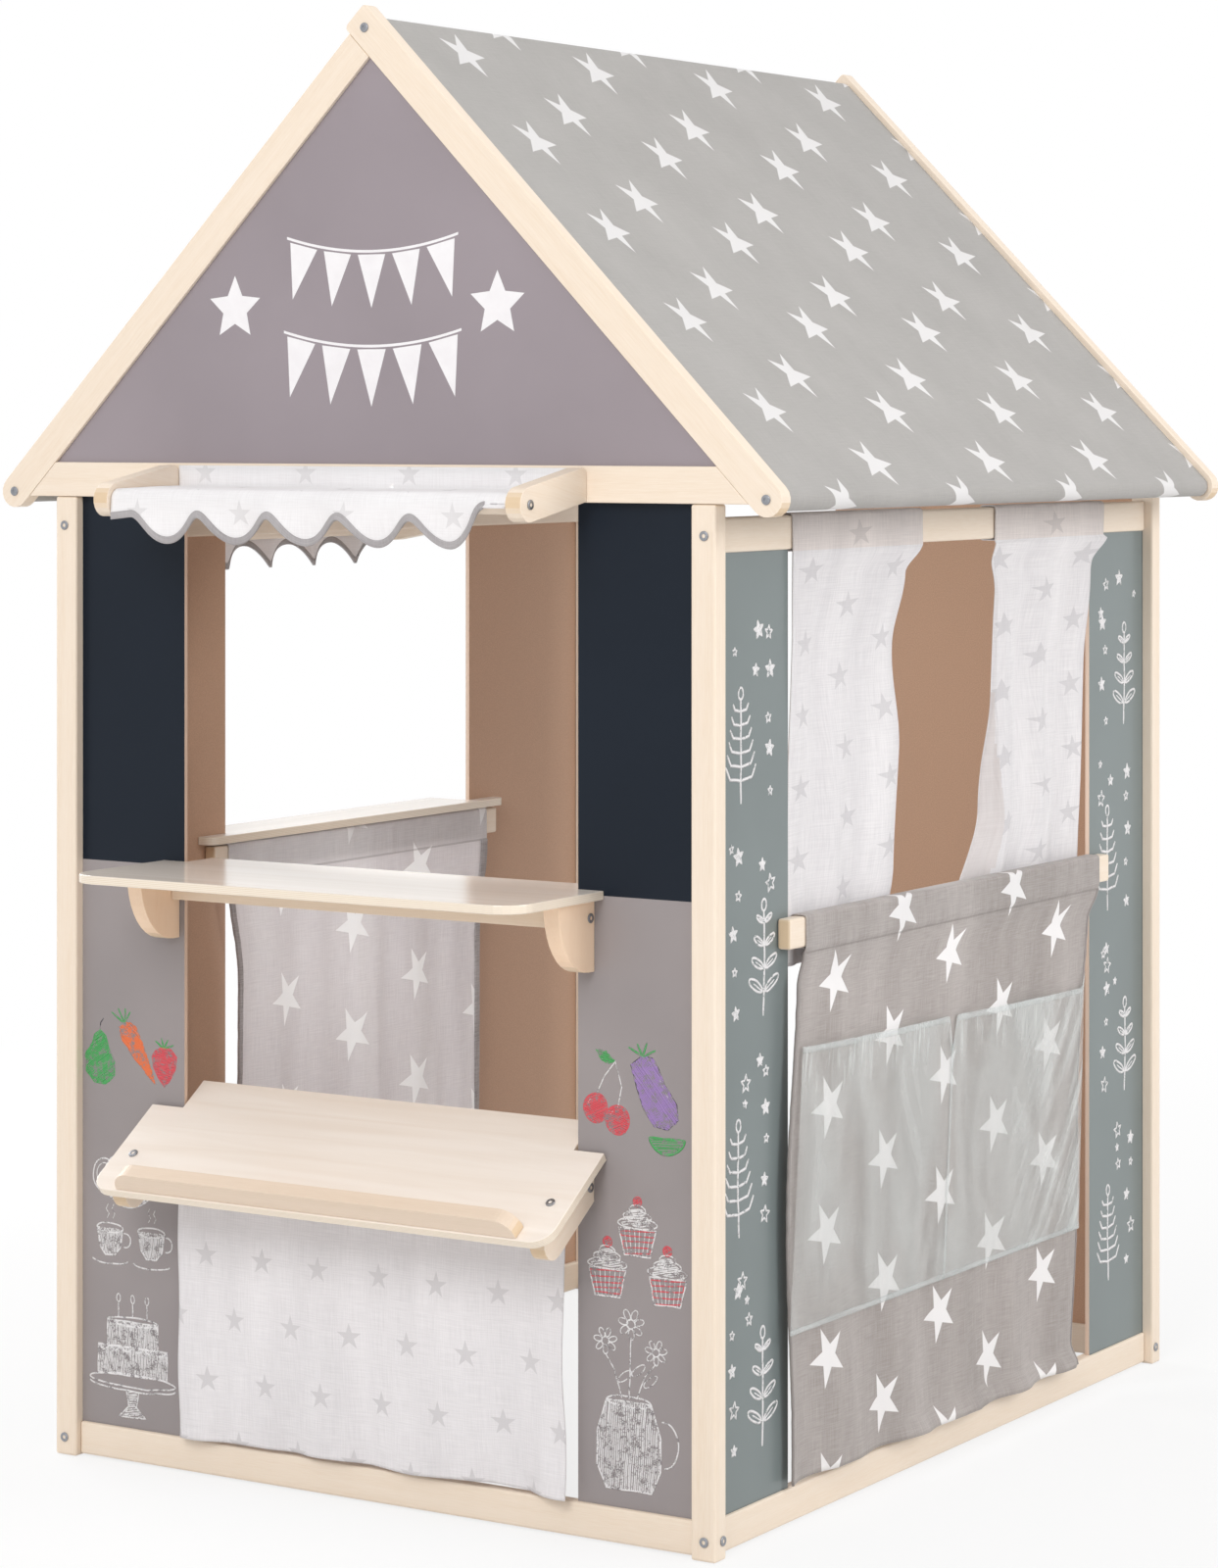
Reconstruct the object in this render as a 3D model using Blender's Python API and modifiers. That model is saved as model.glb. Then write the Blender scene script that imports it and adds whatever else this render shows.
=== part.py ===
"""Play shop stand: a wooden house frame with grooved panels, counters, awnings, fabric roof and curtains.

Metres, +Z up. The front with the serving window faces -Y. Inside the script a place is measured
from the middle of the front post faces on the floor: x to the right, y into the house, z up.
The finished stand is then carried by one empty, so that its bounding box stands centred on the origin.
"""

from math import cos, pi, radians, sin, tan

import bmesh
import bpy
from mathutils import Matrix, Vector

# Clearances
SEAT_GAP = 0.0003            # between wooden faces that touch
GROOVE_SLACK = 0.0004        # each side of a panel in its groove
SLIDE_GAP = 0.0010           # between a curtain sleeve and the rail it slides on
CLOTH_GAP = 0.0006           # between a fixed sleeve and its bar
HINGE_GAP = 0.0012           # between a sleeve's seam and the apron that swings below it

# Body of the house
BODY_WIDTH = 0.830           # over the posts, left to right
BODY_DEPTH = 1.043           # over the posts, front to back
POST_HEIGHT = 1.0375
POST_WIDTH = 0.028           # along x
POST_THICKNESS = 0.022       # along y
RAIL_HEIGHT = 0.035
RAIL_THICKNESS = 0.015
RAIL_FLOOR_GAP = 0.002
FRONT_RAIL_RECESS = 0.007    # rail face behind the post face, front and back
SIDE_RAIL_RECESS = 0.010     # the same on the two long sides
TOP_RAIL_DROP = 0.0135       # side top rail below the post top
WOOD_ROUND = 0.0025          # rounded edges of the battens

# Panels
PANEL_THICKNESS = 0.005
PANEL_ROUND = 0.0
FRONT_PANEL_RECESS = 0.012   # panel face behind the post face, front and back
SIDE_PANEL_RECESS = 0.0135
GROOVE_DEPTH = 0.006
FRONT_OPENING = 0.497        # window in the front and in the left side
RIGHT_OPENING = 0.707
DOORWAY = 0.370              # way in, at the left of the back
GABLE_PANEL_RECESS = 0.005

# Roof
ROOF_PITCH = radians(45.3)
EAVE_REACH = 0.0577          # eave dowel axis outside the posts
EAVE_RISE = 0.0052           # eave dowel axis above the post tops
RAFTER_WIDTH = 0.035
RAFTER_THICKNESS = 0.018
RAFTER_OVERHANG = 0.026      # right rafter past the crossing of the centre lines
RIDGE_BOLT_OFFSET = 0.0074   # ridge dowel past that crossing, in the right rafter
END_ROUND = 0.005            # rounded corners of the right rafter's square end
CHORD_HEIGHT = 0.037
CHORD_THICKNESS = 0.022
DOWEL_RADIUS = 0.010
FABRIC_THICKNESS = 0.0012
ROOF_FABRIC_SLACK = 0.0008   # between the dowels and the fabric
ROOF_FABRIC_INSET = 0.0015   # fabric edge behind the rafters
ROOF_SAG = 0.004
ROOF_HEM_TURN = radians(300)  # how far the fabric wraps round an eave dowel past the slope

# Counter, under the serving window
BRACKET_SHIFT = -0.0025      # all four brackets sit a little left of the middle
SHELF_SHIFT = 0.004          # counter to the right of the middle of its brackets
SHELF_WIDTH = 0.555
SHELF_THICKNESS = 0.009
SHELF_TOP = 0.650
SHELF_REACH = 0.152          # front edge in front of the post faces
SHELF_CORNER = 0.033
TONGUE_DEPTH = 0.045         # behind the panel face, through the window
TONGUE_GAP = 0.002           # at each side of a tongue in its window
BRACKET_THICKNESS = 0.018
BRACKET_ROUND = 0.0015       # rounded edges of brackets, arms and lip
BOARD_ROUND = 0.0010         # rounded edges of the boards
BRACKET_INSET = 0.007        # brackets inside the ends of the counter
BRACKET_DEPTH = 0.067
BRACKET_HEIGHT = 0.072
BRACKET_FOOT = 0.010         # straight stretch at the foot of the quarter round
STIFFENER_HEIGHT = 0.018
STIFFENER_THICKNESS = 0.015

# Tilted display tray
TRAY_TILT = radians(34)
TRAY_TOP = 0.389             # upper surface at the panel face
TRAY_OVERHANG = 0.0145       # tray past its brackets
TRAY_SLOPE = 0.130           # from the panel face down to the front edge
TRAY_TONGUE = 0.043
TRAY_CORNER = 0.022
LIP_HEIGHT = 0.022
LIP_THICKNESS = 0.017
LIP_LENGTH = 0.500
LIP_SETBACK = 0.002
TRAY_BRACKET_DEPTH = 0.035
TRAY_BRACKET_LENGTH = 0.1195  # along the slope, to its rounded end
TRAY_SCREW_PLACE = 0.075     # screw heads on the tray, along the slope

# Front curtain, on a dowel between the tray brackets
ROD_RADIUS = 0.006
ROD_DEPTH = -0.001           # rod axis from the post faces
ROD_HEIGHT = 0.345
FRONT_CURTAIN_WIDTH = 0.487
FRONT_CURTAIN_BOTTOM = 0.0415
FRONT_CURTAIN_FOLD = 0.0035
FRONT_CURTAIN_SWAY = 0.0030

# Awnings, front and left
AWNING_SPAN = 0.531          # over the two arms
AWNING_SHIFT = 0.001         # off the middle of its window
ARM_LENGTH = 0.123
ARM_TILT = radians(10.3)
ARM_THICKNESS = 0.018
ARM_HEIGHT = 0.035
ARM_CORNER = 0.008           # rounded upper corner at the wall
AWNING_CLOTH_GAP = 0.001     # between the cloth and each arm
AWNING_HEM_LIFT = 0.0160     # top of the cloth's hem strip above the arms' axis
AWNING_HEM_WIDTH = 0.0220    # hem strip on the wall
VALANCE_DROP = 0.0435        # lowest points below the dowel axis
VALANCE_RISE = 0.027         # from the lowest to the highest points of the scallops
VALANCE_END_DROP = 0.0090    # beyond the last scallop
SCALLOP_PITCH = 0.088
FIRST_CREST = 0.0265         # first high point from the cloth's left edge
VALANCE_FOLD = 0.0022

# Left side: ledge, bar and apron inside
LEFT_SHIFT = 0.005           # left window behind the middle of the depth
LEDGE_WIDTH = 0.598
LEDGE_EAR = 0.0200           # reach into the house, from the panel's inner face
LEDGE_TONGUE = 0.052         # reach out of the house, from the panel's outer face
LEDGE_CORNER = 0.012
BAR_HEIGHT = 0.031
BAR_THICKNESS = 0.015
LEFT_BAR_LENGTH = 0.575
LEFT_APRON_WIDTH = 0.520
LEFT_APRON_BOTTOM = 0.060

# Right side: bar and apron outside, pockets on it, curtains above
RIGHT_BAR_LENGTH = 0.751
RIGHT_BAR_TOP = 0.6165
APRON_MARGIN = 0.0085        # apron edge inside the window edge
APRON_SEAM = 0.006           # below the bar
APRON_FOLD = 0.006
RIGHT_APRON_LEAN = 0.011     # its foot nearer the front than its bar
RIGHT_APRON_BOTTOM = 0.046
POCKET_TOP = 0.478
POCKET_BOTTOM = 0.196
POCKET_DEPTH = 0.0075
POCKET_WALL = 0.0010
CURTAIN_GAP = 0.0028         # beside the window edge
CURTAIN_BOTTOM = 0.565
CURTAIN_FOLD = 0.0038
CURTAIN_FRONT_WIDTH = 0.268
CURTAIN_BACK_WIDTH = 0.267

# Fasteners
BOLT_HEAD_RADIUS = 0.0043
BOLT_HEAD_DEPTH = 0.0030
BOLT_PROUD = 0.0010
BOLT_SLACK = 0.0004
BOLT_SHANK_RADIUS = 0.0024
BOLT_GRIP = 0.016            # shank inside the dowel
BOLT_SIDES = 10
BOLT_FROM_POST_EDGE = 0.0125  # bolt centre from the post's outer face, on its front or back

# Places that follow from the sizes
HALF_WIDTH = BODY_WIDTH / 2
POST_INNER_X = HALF_WIDTH - POST_WIDTH
RAIL_BOTTOM = RAIL_FLOOR_GAP
RAIL_TOP = RAIL_FLOOR_GAP + RAIL_HEIGHT
TOP_RAIL_TOP = POST_HEIGHT - TOP_RAIL_DROP
TOP_RAIL_BOTTOM = TOP_RAIL_TOP - RAIL_HEIGHT
CHORD_BOTTOM = POST_HEIGHT + SEAT_GAP
CHORD_TOP = CHORD_BOTTOM + CHORD_HEIGHT
SIDE_RAIL_X = HALF_WIDTH - SIDE_RAIL_RECESS
SIDE_PANEL_X = HALF_WIDTH - SIDE_PANEL_RECESS
SIDE_PANEL_INNER_X = SIDE_PANEL_X - PANEL_THICKNESS
EAVE_X = HALF_WIDTH + EAVE_REACH
EAVE_Z = POST_HEIGHT + EAVE_RISE
CROSSING_Z = EAVE_Z + EAVE_X * tan(ROOF_PITCH)
RIDGE_X = -RIDGE_BOLT_OFFSET * cos(ROOF_PITCH)
RIDGE_Z = CROSSING_Z + RIDGE_BOLT_OFFSET * sin(ROOF_PITCH)
INNER_APEX_Z = CROSSING_Z - RAFTER_WIDTH / 2 / cos(ROOF_PITCH)
MIDDLE_Y = BODY_DEPTH / 2
LEFT_MIDDLE_Y = MIDDLE_Y + LEFT_SHIFT
FRONT_PANEL_FACE = FRONT_PANEL_RECESS
BRACKET_X = SHELF_WIDTH / 2 - BRACKET_INSET
TRAY_WIDTH = 2 * (BRACKET_X + TRAY_OVERHANG)
ROD_SLEEVE_RADIUS = ROD_RADIUS + CLOTH_GAP + FABRIC_THICKNESS / 2
RIGHT_BAR_X = SIDE_PANEL_X + SEAT_GAP
RIGHT_BAR_BOTTOM = RIGHT_BAR_TOP - BAR_HEIGHT
LEFT_BAR_TOP = SHELF_TOP - SHELF_THICKNESS - SEAT_GAP - 2 * CLOTH_GAP - FABRIC_THICKNESS
LEFT_BAR_BOTTOM = LEFT_BAR_TOP - BAR_HEIGHT
LEFT_BAR_X = -SIDE_PANEL_INNER_X + SEAT_GAP
DOORWAY_RIGHT_X = -POST_INNER_X + DOORWAY
ARM_AXIS_REACH = ARM_LENGTH - ARM_HEIGHT / 2
ARM_REACH = SEAT_GAP + ARM_AXIS_REACH * cos(ARM_TILT) + ARM_HEIGHT / 2
AWNING_CLOTH_WIDTH = AWNING_SPAN - 2 * (ARM_THICKNESS + AWNING_CLOTH_GAP)
STAND_X = (max(SIDE_RAIL_X + ARM_REACH, EAVE_X + RAFTER_WIDTH / 2) - EAVE_X - RAFTER_WIDTH / 2) / 2
STAND_Y = (max(SHELF_REACH, ARM_REACH) - BODY_DEPTH - BOLT_PROUD) / 2

# Colours (linear) with roughness
FINISHES = {
    "beech": ((0.84, 0.70, 0.55), 0.55),
    "shelf_ply": ((0.83, 0.76, 0.67), 0.55),
    "grey_panel": ((0.28, 0.25, 0.25), 0.45),
    "side_panel": ((0.24, 0.27, 0.27), 0.45),
    "roof_fabric": ((0.45, 0.43, 0.41), 0.85),
    "white_cotton": ((0.80, 0.78, 0.79), 0.85),
    "grey_cotton": ((0.37, 0.34, 0.33), 0.85),
    "clear_film": ((0.72, 0.80, 0.79), 0.15),
    "zinc": ((0.30, 0.30, 0.32), 0.40),
}


def finish(name):
    """Return the named material, made on first use."""
    if name in bpy.data.materials:
        return bpy.data.materials[name]
    colour, roughness = FINISHES[name]
    material = bpy.data.materials.new(name)
    material.use_nodes = True
    shader = material.node_tree.nodes["Principled BSDF"]
    shader.inputs["Base Color"].default_value = (*colour, 1.0)
    shader.inputs["Roughness"].default_value = roughness
    shader.inputs["Metallic"].default_value = 1.0 if name == "zinc" else 0.0
    if name == "clear_film":
        shader.inputs["Alpha"].default_value = 0.45
    material.diffuse_color = (*colour, 1.0)
    return material


def clear_scene():
    """Remove every object, so that the script can be run again in one file."""
    for item in list(bpy.data.objects):
        bpy.data.objects.remove(item, do_unlink=True)


def make_collection(name):
    """Make a collection under the scene."""
    collection = bpy.data.collections.new(name)
    bpy.context.scene.collection.children.link(collection)
    return collection


class Workshop:
    """Holds the two collections and the empty that carries the stand."""

    def __init__(self):
        self.parts = make_collection("play_shop_stand")
        self.cutters = make_collection("cutters")
        self.base = bpy.data.objects.new("stand_base", None)
        self.base.location = (STAND_X, STAND_Y, 0.0)
        self.parts.objects.link(self.base)

    def axis(self, name, place):
        """Make an empty on a joint's axis."""
        empty = bpy.data.objects.new(name, None)
        empty.parent = self.base
        empty.location = place
        self.parts.objects.link(empty)
        return empty

    def add(self, name, mesh, material, place=(0, 0, 0), carrier=None):
        """Put a mesh on the stand; place is in stand coordinates, carrier an axis empty."""
        item = bpy.data.objects.new(name, mesh)
        self.parts.objects.link(item)
        item.data.materials.append(finish(material))
        item.parent = carrier or self.base
        item.location = Vector(place) - (carrier.location if carrier else Vector())
        return item

    def add_cutter(self, name, mesh, place=(0, 0, 0), material="beech"):
        """Put a cutting shape in its own collection; what it cuts or adds has its material."""
        item = bpy.data.objects.new(name, mesh)
        item.data.materials.append(finish(material))
        self.cutters.objects.link(item)
        item.parent = self.base
        item.location = place
        item.hide_render = True
        item.display_type = "WIRE"
        return item


def box_mesh(name, size):
    """A box mesh of the given size, centred on its own origin."""
    mesh = bpy.data.meshes.new(name)
    shape = bmesh.new()
    bmesh.ops.create_cube(shape, size=1.0)
    bmesh.ops.scale(shape, vec=size, verts=shape.verts)
    shape.to_mesh(mesh)
    shape.free()
    return mesh


def round_edges(item, width, segments=2):
    """Round the sharp edges of an object."""
    bevel = item.modifiers.new("rounded_edges", "BEVEL")
    bevel.width = width
    bevel.segments = segments
    bevel.limit_method = "ANGLE"
    bevel.angle_limit = radians(50)
    return item


def cut(item, cutter, operation="DIFFERENCE"):
    """Take a cutting shape out of an object, or fuse it on with operation UNION."""
    boolean = item.modifiers.new(cutter.name, "BOOLEAN")
    boolean.operation = operation
    boolean.solver = "EXACT"
    boolean.material_mode = "TRANSFER"
    boolean.object = cutter
    return item


def batten(shop, name, low, high, material="beech", edge=WOOD_ROUND):
    """A straight piece of timber between two corners, with rounded edges."""
    low = Vector(low)
    high = Vector(high)
    item = shop.add(name, box_mesh(name, high - low), material, (low + high) / 2)
    return round_edges(item, edge) if edge else item


def groove(shop, item, low, high):
    """Cut a straight groove, given by two corners, in a piece."""
    low = Vector(low)
    high = Vector(high)
    name = item.name + "_groove_" + str(len(item.modifiers))
    return cut(item, shop.add_cutter(name, box_mesh(name, high - low), (low + high) / 2))


def arc(centre, radius, start, stop, steps):
    """Points along an arc, both ends included."""
    return [(centre[0] + radius * cos(start + (stop - start) * k / steps),
             centre[1] + radius * sin(start + (stop - start) * k / steps)) for k in range(steps + 1)]


def outline_mesh(name, outline, thickness):
    """A flat plate from a closed outline in its own XY plane, half its thickness each way."""
    curve = bpy.data.curves.new(name + "_outline", "CURVE")
    curve.dimensions = "2D"
    curve.fill_mode = "BOTH"
    curve.extrude = thickness / 2
    spline = curve.splines.new("POLY")
    spline.points.add(len(outline) - 1)
    for point, (x, y) in zip(spline.points, outline):
        point.co = (x, y, 0.0, 1.0)
    spline.use_cyclic_u = True
    guide = bpy.data.objects.new(name + "_outline", curve)
    bpy.context.scene.collection.objects.link(guide)
    graph = bpy.context.evaluated_depsgraph_get()
    mesh = bpy.data.meshes.new_from_object(guide.evaluated_get(graph))
    bpy.data.objects.remove(guide, do_unlink=True)
    mesh.name = name
    shape = bmesh.new()
    shape.from_mesh(mesh)
    bmesh.ops.remove_doubles(shape, verts=shape.verts, dist=0.00001)
    bmesh.ops.recalc_face_normals(shape, faces=shape.faces)
    shape.to_mesh(mesh)
    shape.free()
    return mesh


FACING_FRONT = Matrix.Rotation(pi / 2, 4, "X")                       # outline x, y become x, z
FACING_SIDE = Matrix(((0, 0, 1, 0), (1, 0, 0, 0), (0, 1, 0, 0), (0, 0, 0, 1)))  # outline x, y become y, z


def plate(shop, name, outline, thickness, material, facing=None, place=(0, 0, 0), edge=0.0):
    """A flat piece sawn to an outline, lying flat or turned to face the front or a side."""
    mesh = outline_mesh(name, outline, thickness)
    if facing is not None:
        mesh.transform(facing)
    item = shop.add(name, mesh, material, place)
    if edge:
        round_edges(item, edge)
    return item


def dowel(shop, name, start, end, radius, material="beech", sides=16):
    """A round rod between two points, shaded smooth."""
    start = Vector(start)
    end = Vector(end)
    mesh = bpy.data.meshes.new(name)
    shape = bmesh.new()
    bmesh.ops.create_cone(shape, cap_ends=True, segments=sides, radius1=radius, radius2=radius,
                          depth=(end - start).length)
    turn = Vector((0, 0, 1)).rotation_difference(end - start).to_matrix().to_4x4()
    bmesh.ops.transform(shape, matrix=turn, verts=shape.verts)
    shape.to_mesh(mesh)
    shape.free()
    mesh.shade_smooth()
    mesh.set_sharp_from_angle(angle=radians(50))
    return shop.add(name, mesh, material, (start + end) / 2)


def discs_mesh(name, spots, radius, depth):
    """Short cylinders, one for each (centre, axis) spot, in one mesh."""
    mesh = bpy.data.meshes.new(name)
    shape = bmesh.new()
    for centre, axis in spots:
        turn = Vector((0, 0, 1)).rotation_difference(Vector(axis)).to_matrix().to_4x4()
        bmesh.ops.create_cone(shape, cap_ends=True, segments=BOLT_SIDES, radius1=radius,
                              radius2=radius, depth=depth, matrix=Matrix.Translation(centre) @ turn)
    shape.to_mesh(mesh)
    shape.free()
    return mesh


def fuse_bolts(shop, item, spots):
    """Set bolt heads in a piece; a spot is the middle of the bolt on the face, and the outward axis."""
    middle = BOLT_PROUD - BOLT_HEAD_DEPTH / 2
    heads = [(Vector(centre) + Vector(axis) * middle, Vector(axis)) for centre, axis in spots]
    name = item.name + "_bolts"
    mesh = discs_mesh(name, heads, BOLT_HEAD_RADIUS, BOLT_HEAD_DEPTH)
    return cut(item, shop.add_cutter(name, mesh, material="zinc"), "UNION")


def bolt_mesh(name, grow):
    """A turned bolt's profile, from its head's face down to its tip, grown all round for its bore."""
    under_head = BOLT_PROUD - BOLT_HEAD_DEPTH - grow
    tip = -RAFTER_THICKNESS - SEAT_GAP - BOLT_GRIP - grow
    head = BOLT_HEAD_RADIUS + grow
    shank = BOLT_SHANK_RADIUS + grow
    profile = [(0, BOLT_PROUD), (head, BOLT_PROUD), (head, under_head), (shank, under_head), (shank, tip),
               (0, tip)]
    mesh = bpy.data.meshes.new(name)
    shape = bmesh.new()
    verts = [shape.verts.new((x, 0, z)) for x, z in profile]
    for first, second in zip(verts, verts[1:]):
        shape.edges.new((first, second))
    shape.to_mesh(mesh)
    shape.free()
    return mesh


def turn_profile(item):
    """Turn a profile about its own Z axis."""
    screw = item.modifiers.new("turned", "SCREW")
    screw.steps = BOLT_SIDES
    screw.render_steps = BOLT_SIDES
    screw.use_merge_vertices = True
    screw.merge_threshold = 0.00001
    screw.use_smooth_shade = False
    screw.use_normal_flip = True
    return item


def gable_bolt(shop, name, place, rafter, rod):
    """A bolt from the front through a rafter into the end of a dowel, each bored for it."""
    turn = Matrix.Rotation(pi / 2, 4, "X")
    mesh = bolt_mesh(name, 0.0)
    mesh.transform(turn)
    bolt = shop.add(name, mesh, "zinc", place)
    turn_profile(bolt).modifiers["turned"].axis = "Y"
    bore_mesh = bolt_mesh(name + "_bore", BOLT_SLACK)
    bore_mesh.transform(turn)
    bore = shop.add_cutter(name + "_bore", bore_mesh, place)
    turn_profile(bore).modifiers["turned"].axis = "Y"
    cut(rafter, bore)
    cut(rod, bore)


def cloth(shop, name, surface, across, along, material, carrier=None, place=(0, 0, 0)):
    """A sheet of cloth: surface(u, v) gives its middle layer, u and v from 0 to 1."""
    mesh = bpy.data.meshes.new(name)
    shape = bmesh.new()
    bmesh.ops.create_grid(shape, x_segments=across, y_segments=along, size=0.5)
    for vert in shape.verts:
        vert.co = Vector(surface(vert.co.x + 0.5, vert.co.y + 0.5)) - Vector(place)
    shape.to_mesh(mesh)
    shape.free()
    mesh.shade_smooth()
    item = shop.add(name, mesh, material, place, carrier)
    thick = item.modifiers.new("cloth_thickness", "SOLIDIFY")
    thick.thickness = FABRIC_THICKNESS
    thick.offset = 0.0
    thick.use_even_offset = False
    return item


def smooth_table(pairs, value):
    """Read a hand-set outline, given as (place, size) pairs in rising order, with eased steps."""
    if value <= pairs[0][0]:
        return pairs[0][1]
    for (low, first), (high, second) in zip(pairs, pairs[1:]):
        if value <= high:
            part = (value - low) / (high - low)
            return first + (second - first) * (0.5 - 0.5 * cos(pi * part))
    return pairs[-1][1]


def post_bolt_spots():
    """Bolts through the posts into the rails: on the front and back faces and on the sides."""
    spots = {}
    for side, x_sign in (("left", -1), ("right", 1)):
        for end, y_face, y_axis in (("front", 0.0, -1), ("back", BODY_DEPTH, 1)):
            x = x_sign * (HALF_WIDTH - BOLT_FROM_POST_EDGE)
            low_side = ((x, y_face, (RAIL_BOTTOM + RAIL_TOP) / 2), (0, y_axis, 0))
            high_side = ((x, y_face, (TOP_RAIL_BOTTOM + TOP_RAIL_TOP) / 2), (0, y_axis, 0))
            y = y_face - y_axis * (FRONT_RAIL_RECESS + RAIL_THICKNESS / 2)
            low_front = ((x_sign * HALF_WIDTH, y, (RAIL_BOTTOM + RAIL_TOP) / 2), (x_sign, 0, 0))
            spots["post_" + end + "_" + side] = [low_side, high_side, low_front]
    return spots


def build_posts(shop):
    """Four corner posts with a panel groove on each inner face and bolt seats on the outer ones."""
    spots = post_bolt_spots()
    groove_half = PANEL_THICKNESS / 2 + GROOVE_SLACK
    front_mid = FRONT_PANEL_FACE + PANEL_THICKNESS / 2
    side_mid = SIDE_PANEL_X - PANEL_THICKNESS / 2
    for side, x_sign in (("left", -1), ("right", 1)):
        for end in ("front", "back"):
            name = "post_" + end + "_" + side
            y_low = 0.0 if end == "front" else BODY_DEPTH - POST_THICKNESS
            y_high = y_low + POST_THICKNESS
            x_low, x_high = sorted((x_sign * HALF_WIDTH, x_sign * POST_INNER_X))
            post = batten(shop, name, (x_low, y_low, 0.0), (x_high, y_high, POST_HEIGHT))
            y_mid = front_mid if end == "front" else BODY_DEPTH - front_mid
            x_near = x_sign * (POST_INNER_X + GROOVE_DEPTH)
            x_far = x_sign * (POST_INNER_X - GROOVE_DEPTH)
            if (end, side) != ("back", "left"):
                groove(shop, post, (min(x_near, x_far), y_mid - groove_half, RAIL_TOP - GROOVE_DEPTH),
                       (max(x_near, x_far), y_mid + groove_half, POST_HEIGHT + GROOVE_DEPTH))
            y_inner = y_high if end == "front" else y_low
            groove(shop, post,
                   (x_sign * side_mid - groove_half, y_inner - GROOVE_DEPTH, RAIL_TOP - GROOVE_DEPTH),
                   (x_sign * side_mid + groove_half, y_inner + GROOVE_DEPTH,
                    TOP_RAIL_BOTTOM + GROOVE_DEPTH))
            fuse_bolts(shop, post, spots[name])


def build_rails(shop):
    """Bottom rails all round and top rails on the two long sides, grooved for the panels."""
    groove_half = PANEL_THICKNESS / 2 + GROOVE_SLACK
    x_end = POST_INNER_X - SEAT_GAP
    for end in ("front", "back"):
        face = FRONT_RAIL_RECESS if end == "front" else BODY_DEPTH - FRONT_RAIL_RECESS - RAIL_THICKNESS
        panel = FRONT_PANEL_FACE + PANEL_THICKNESS / 2
        mid = panel if end == "front" else BODY_DEPTH - panel
        rail = batten(shop, end + "_bottom_rail", (-x_end, face, RAIL_BOTTOM),
                      (x_end, face + RAIL_THICKNESS, RAIL_TOP))
        if end == "front":
            spans = [(-x_end - GROOVE_DEPTH, -FRONT_OPENING / 2 + GROOVE_SLACK),
                     (FRONT_OPENING / 2 - GROOVE_SLACK, x_end + GROOVE_DEPTH)]
        else:
            spans = [(DOORWAY_RIGHT_X - GROOVE_SLACK, x_end + GROOVE_DEPTH)]
        for low, high in spans:
            groove(shop, rail, (low, mid - groove_half, RAIL_TOP - GROOVE_DEPTH),
                   (high, mid + groove_half, RAIL_TOP + GROOVE_DEPTH))
    y_start = POST_THICKNESS + SEAT_GAP
    y_stop = BODY_DEPTH - y_start
    for side, x_sign, opening, middle in (("left", -1, FRONT_OPENING, LEFT_MIDDLE_Y),
                                          ("right", 1, RIGHT_OPENING, MIDDLE_Y)):
        x_low, x_high = sorted((x_sign * SIDE_RAIL_X, x_sign * (SIDE_RAIL_X - RAIL_THICKNESS)))
        mid = x_sign * (SIDE_PANEL_X - PANEL_THICKNESS / 2)
        for level, z_low, z_edge in (("bottom", RAIL_BOTTOM, RAIL_TOP),
                                     ("top", TOP_RAIL_BOTTOM, TOP_RAIL_BOTTOM)):
            rail = batten(shop, side + "_" + level + "_rail", (x_low, y_start, z_low),
                          (x_high, y_stop, z_low + RAIL_HEIGHT))
            for low, high in ((y_start - GROOVE_DEPTH, middle - opening / 2 + GROOVE_SLACK),
                              (middle + opening / 2 - GROOVE_SLACK, y_stop + GROOVE_DEPTH)):
                groove(shop, rail, (mid - groove_half, low, z_edge - GROOVE_DEPTH),
                       (mid + groove_half, high, z_edge + GROOVE_DEPTH))


def build_panels(shop):
    """Thin boards seated in the grooves; each window is the space between two of them."""
    seat = GROOVE_DEPTH - 2 * SEAT_GAP
    low_z = RAIL_TOP - seat
    front_top = CHORD_BOTTOM + seat
    side_top = TOP_RAIL_BOTTOM + seat
    y_face = FRONT_PANEL_FACE
    x_seat = POST_INNER_X + seat
    for side, x_sign in (("left", -1), ("right", 1)):
        x_low, x_high = sorted((x_sign * x_seat, x_sign * FRONT_OPENING / 2))
        batten(shop, "front_panel_" + side, (x_low, y_face, low_z),
               (x_high, y_face + PANEL_THICKNESS, front_top), "grey_panel", PANEL_ROUND)
    batten(shop, "back_panel", (DOORWAY_RIGHT_X, BODY_DEPTH - y_face - PANEL_THICKNESS, low_z),
           (x_seat, BODY_DEPTH - y_face, front_top), "side_panel", PANEL_ROUND)
    y_seat = POST_THICKNESS - seat
    for side, x_sign, opening, middle in (("left", -1, FRONT_OPENING, LEFT_MIDDLE_Y),
                                          ("right", 1, RIGHT_OPENING, MIDDLE_Y)):
        x_low, x_high = sorted((x_sign * SIDE_PANEL_X, x_sign * SIDE_PANEL_INNER_X))
        for end, y_low, y_high in (("front", y_seat, middle - opening / 2),
                                   ("back", middle + opening / 2, BODY_DEPTH - y_seat)):
            batten(shop, side + "_panel_" + end, (x_low, y_low, low_z), (x_high, y_high, side_top),
                   "side_panel", PANEL_ROUND)


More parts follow.
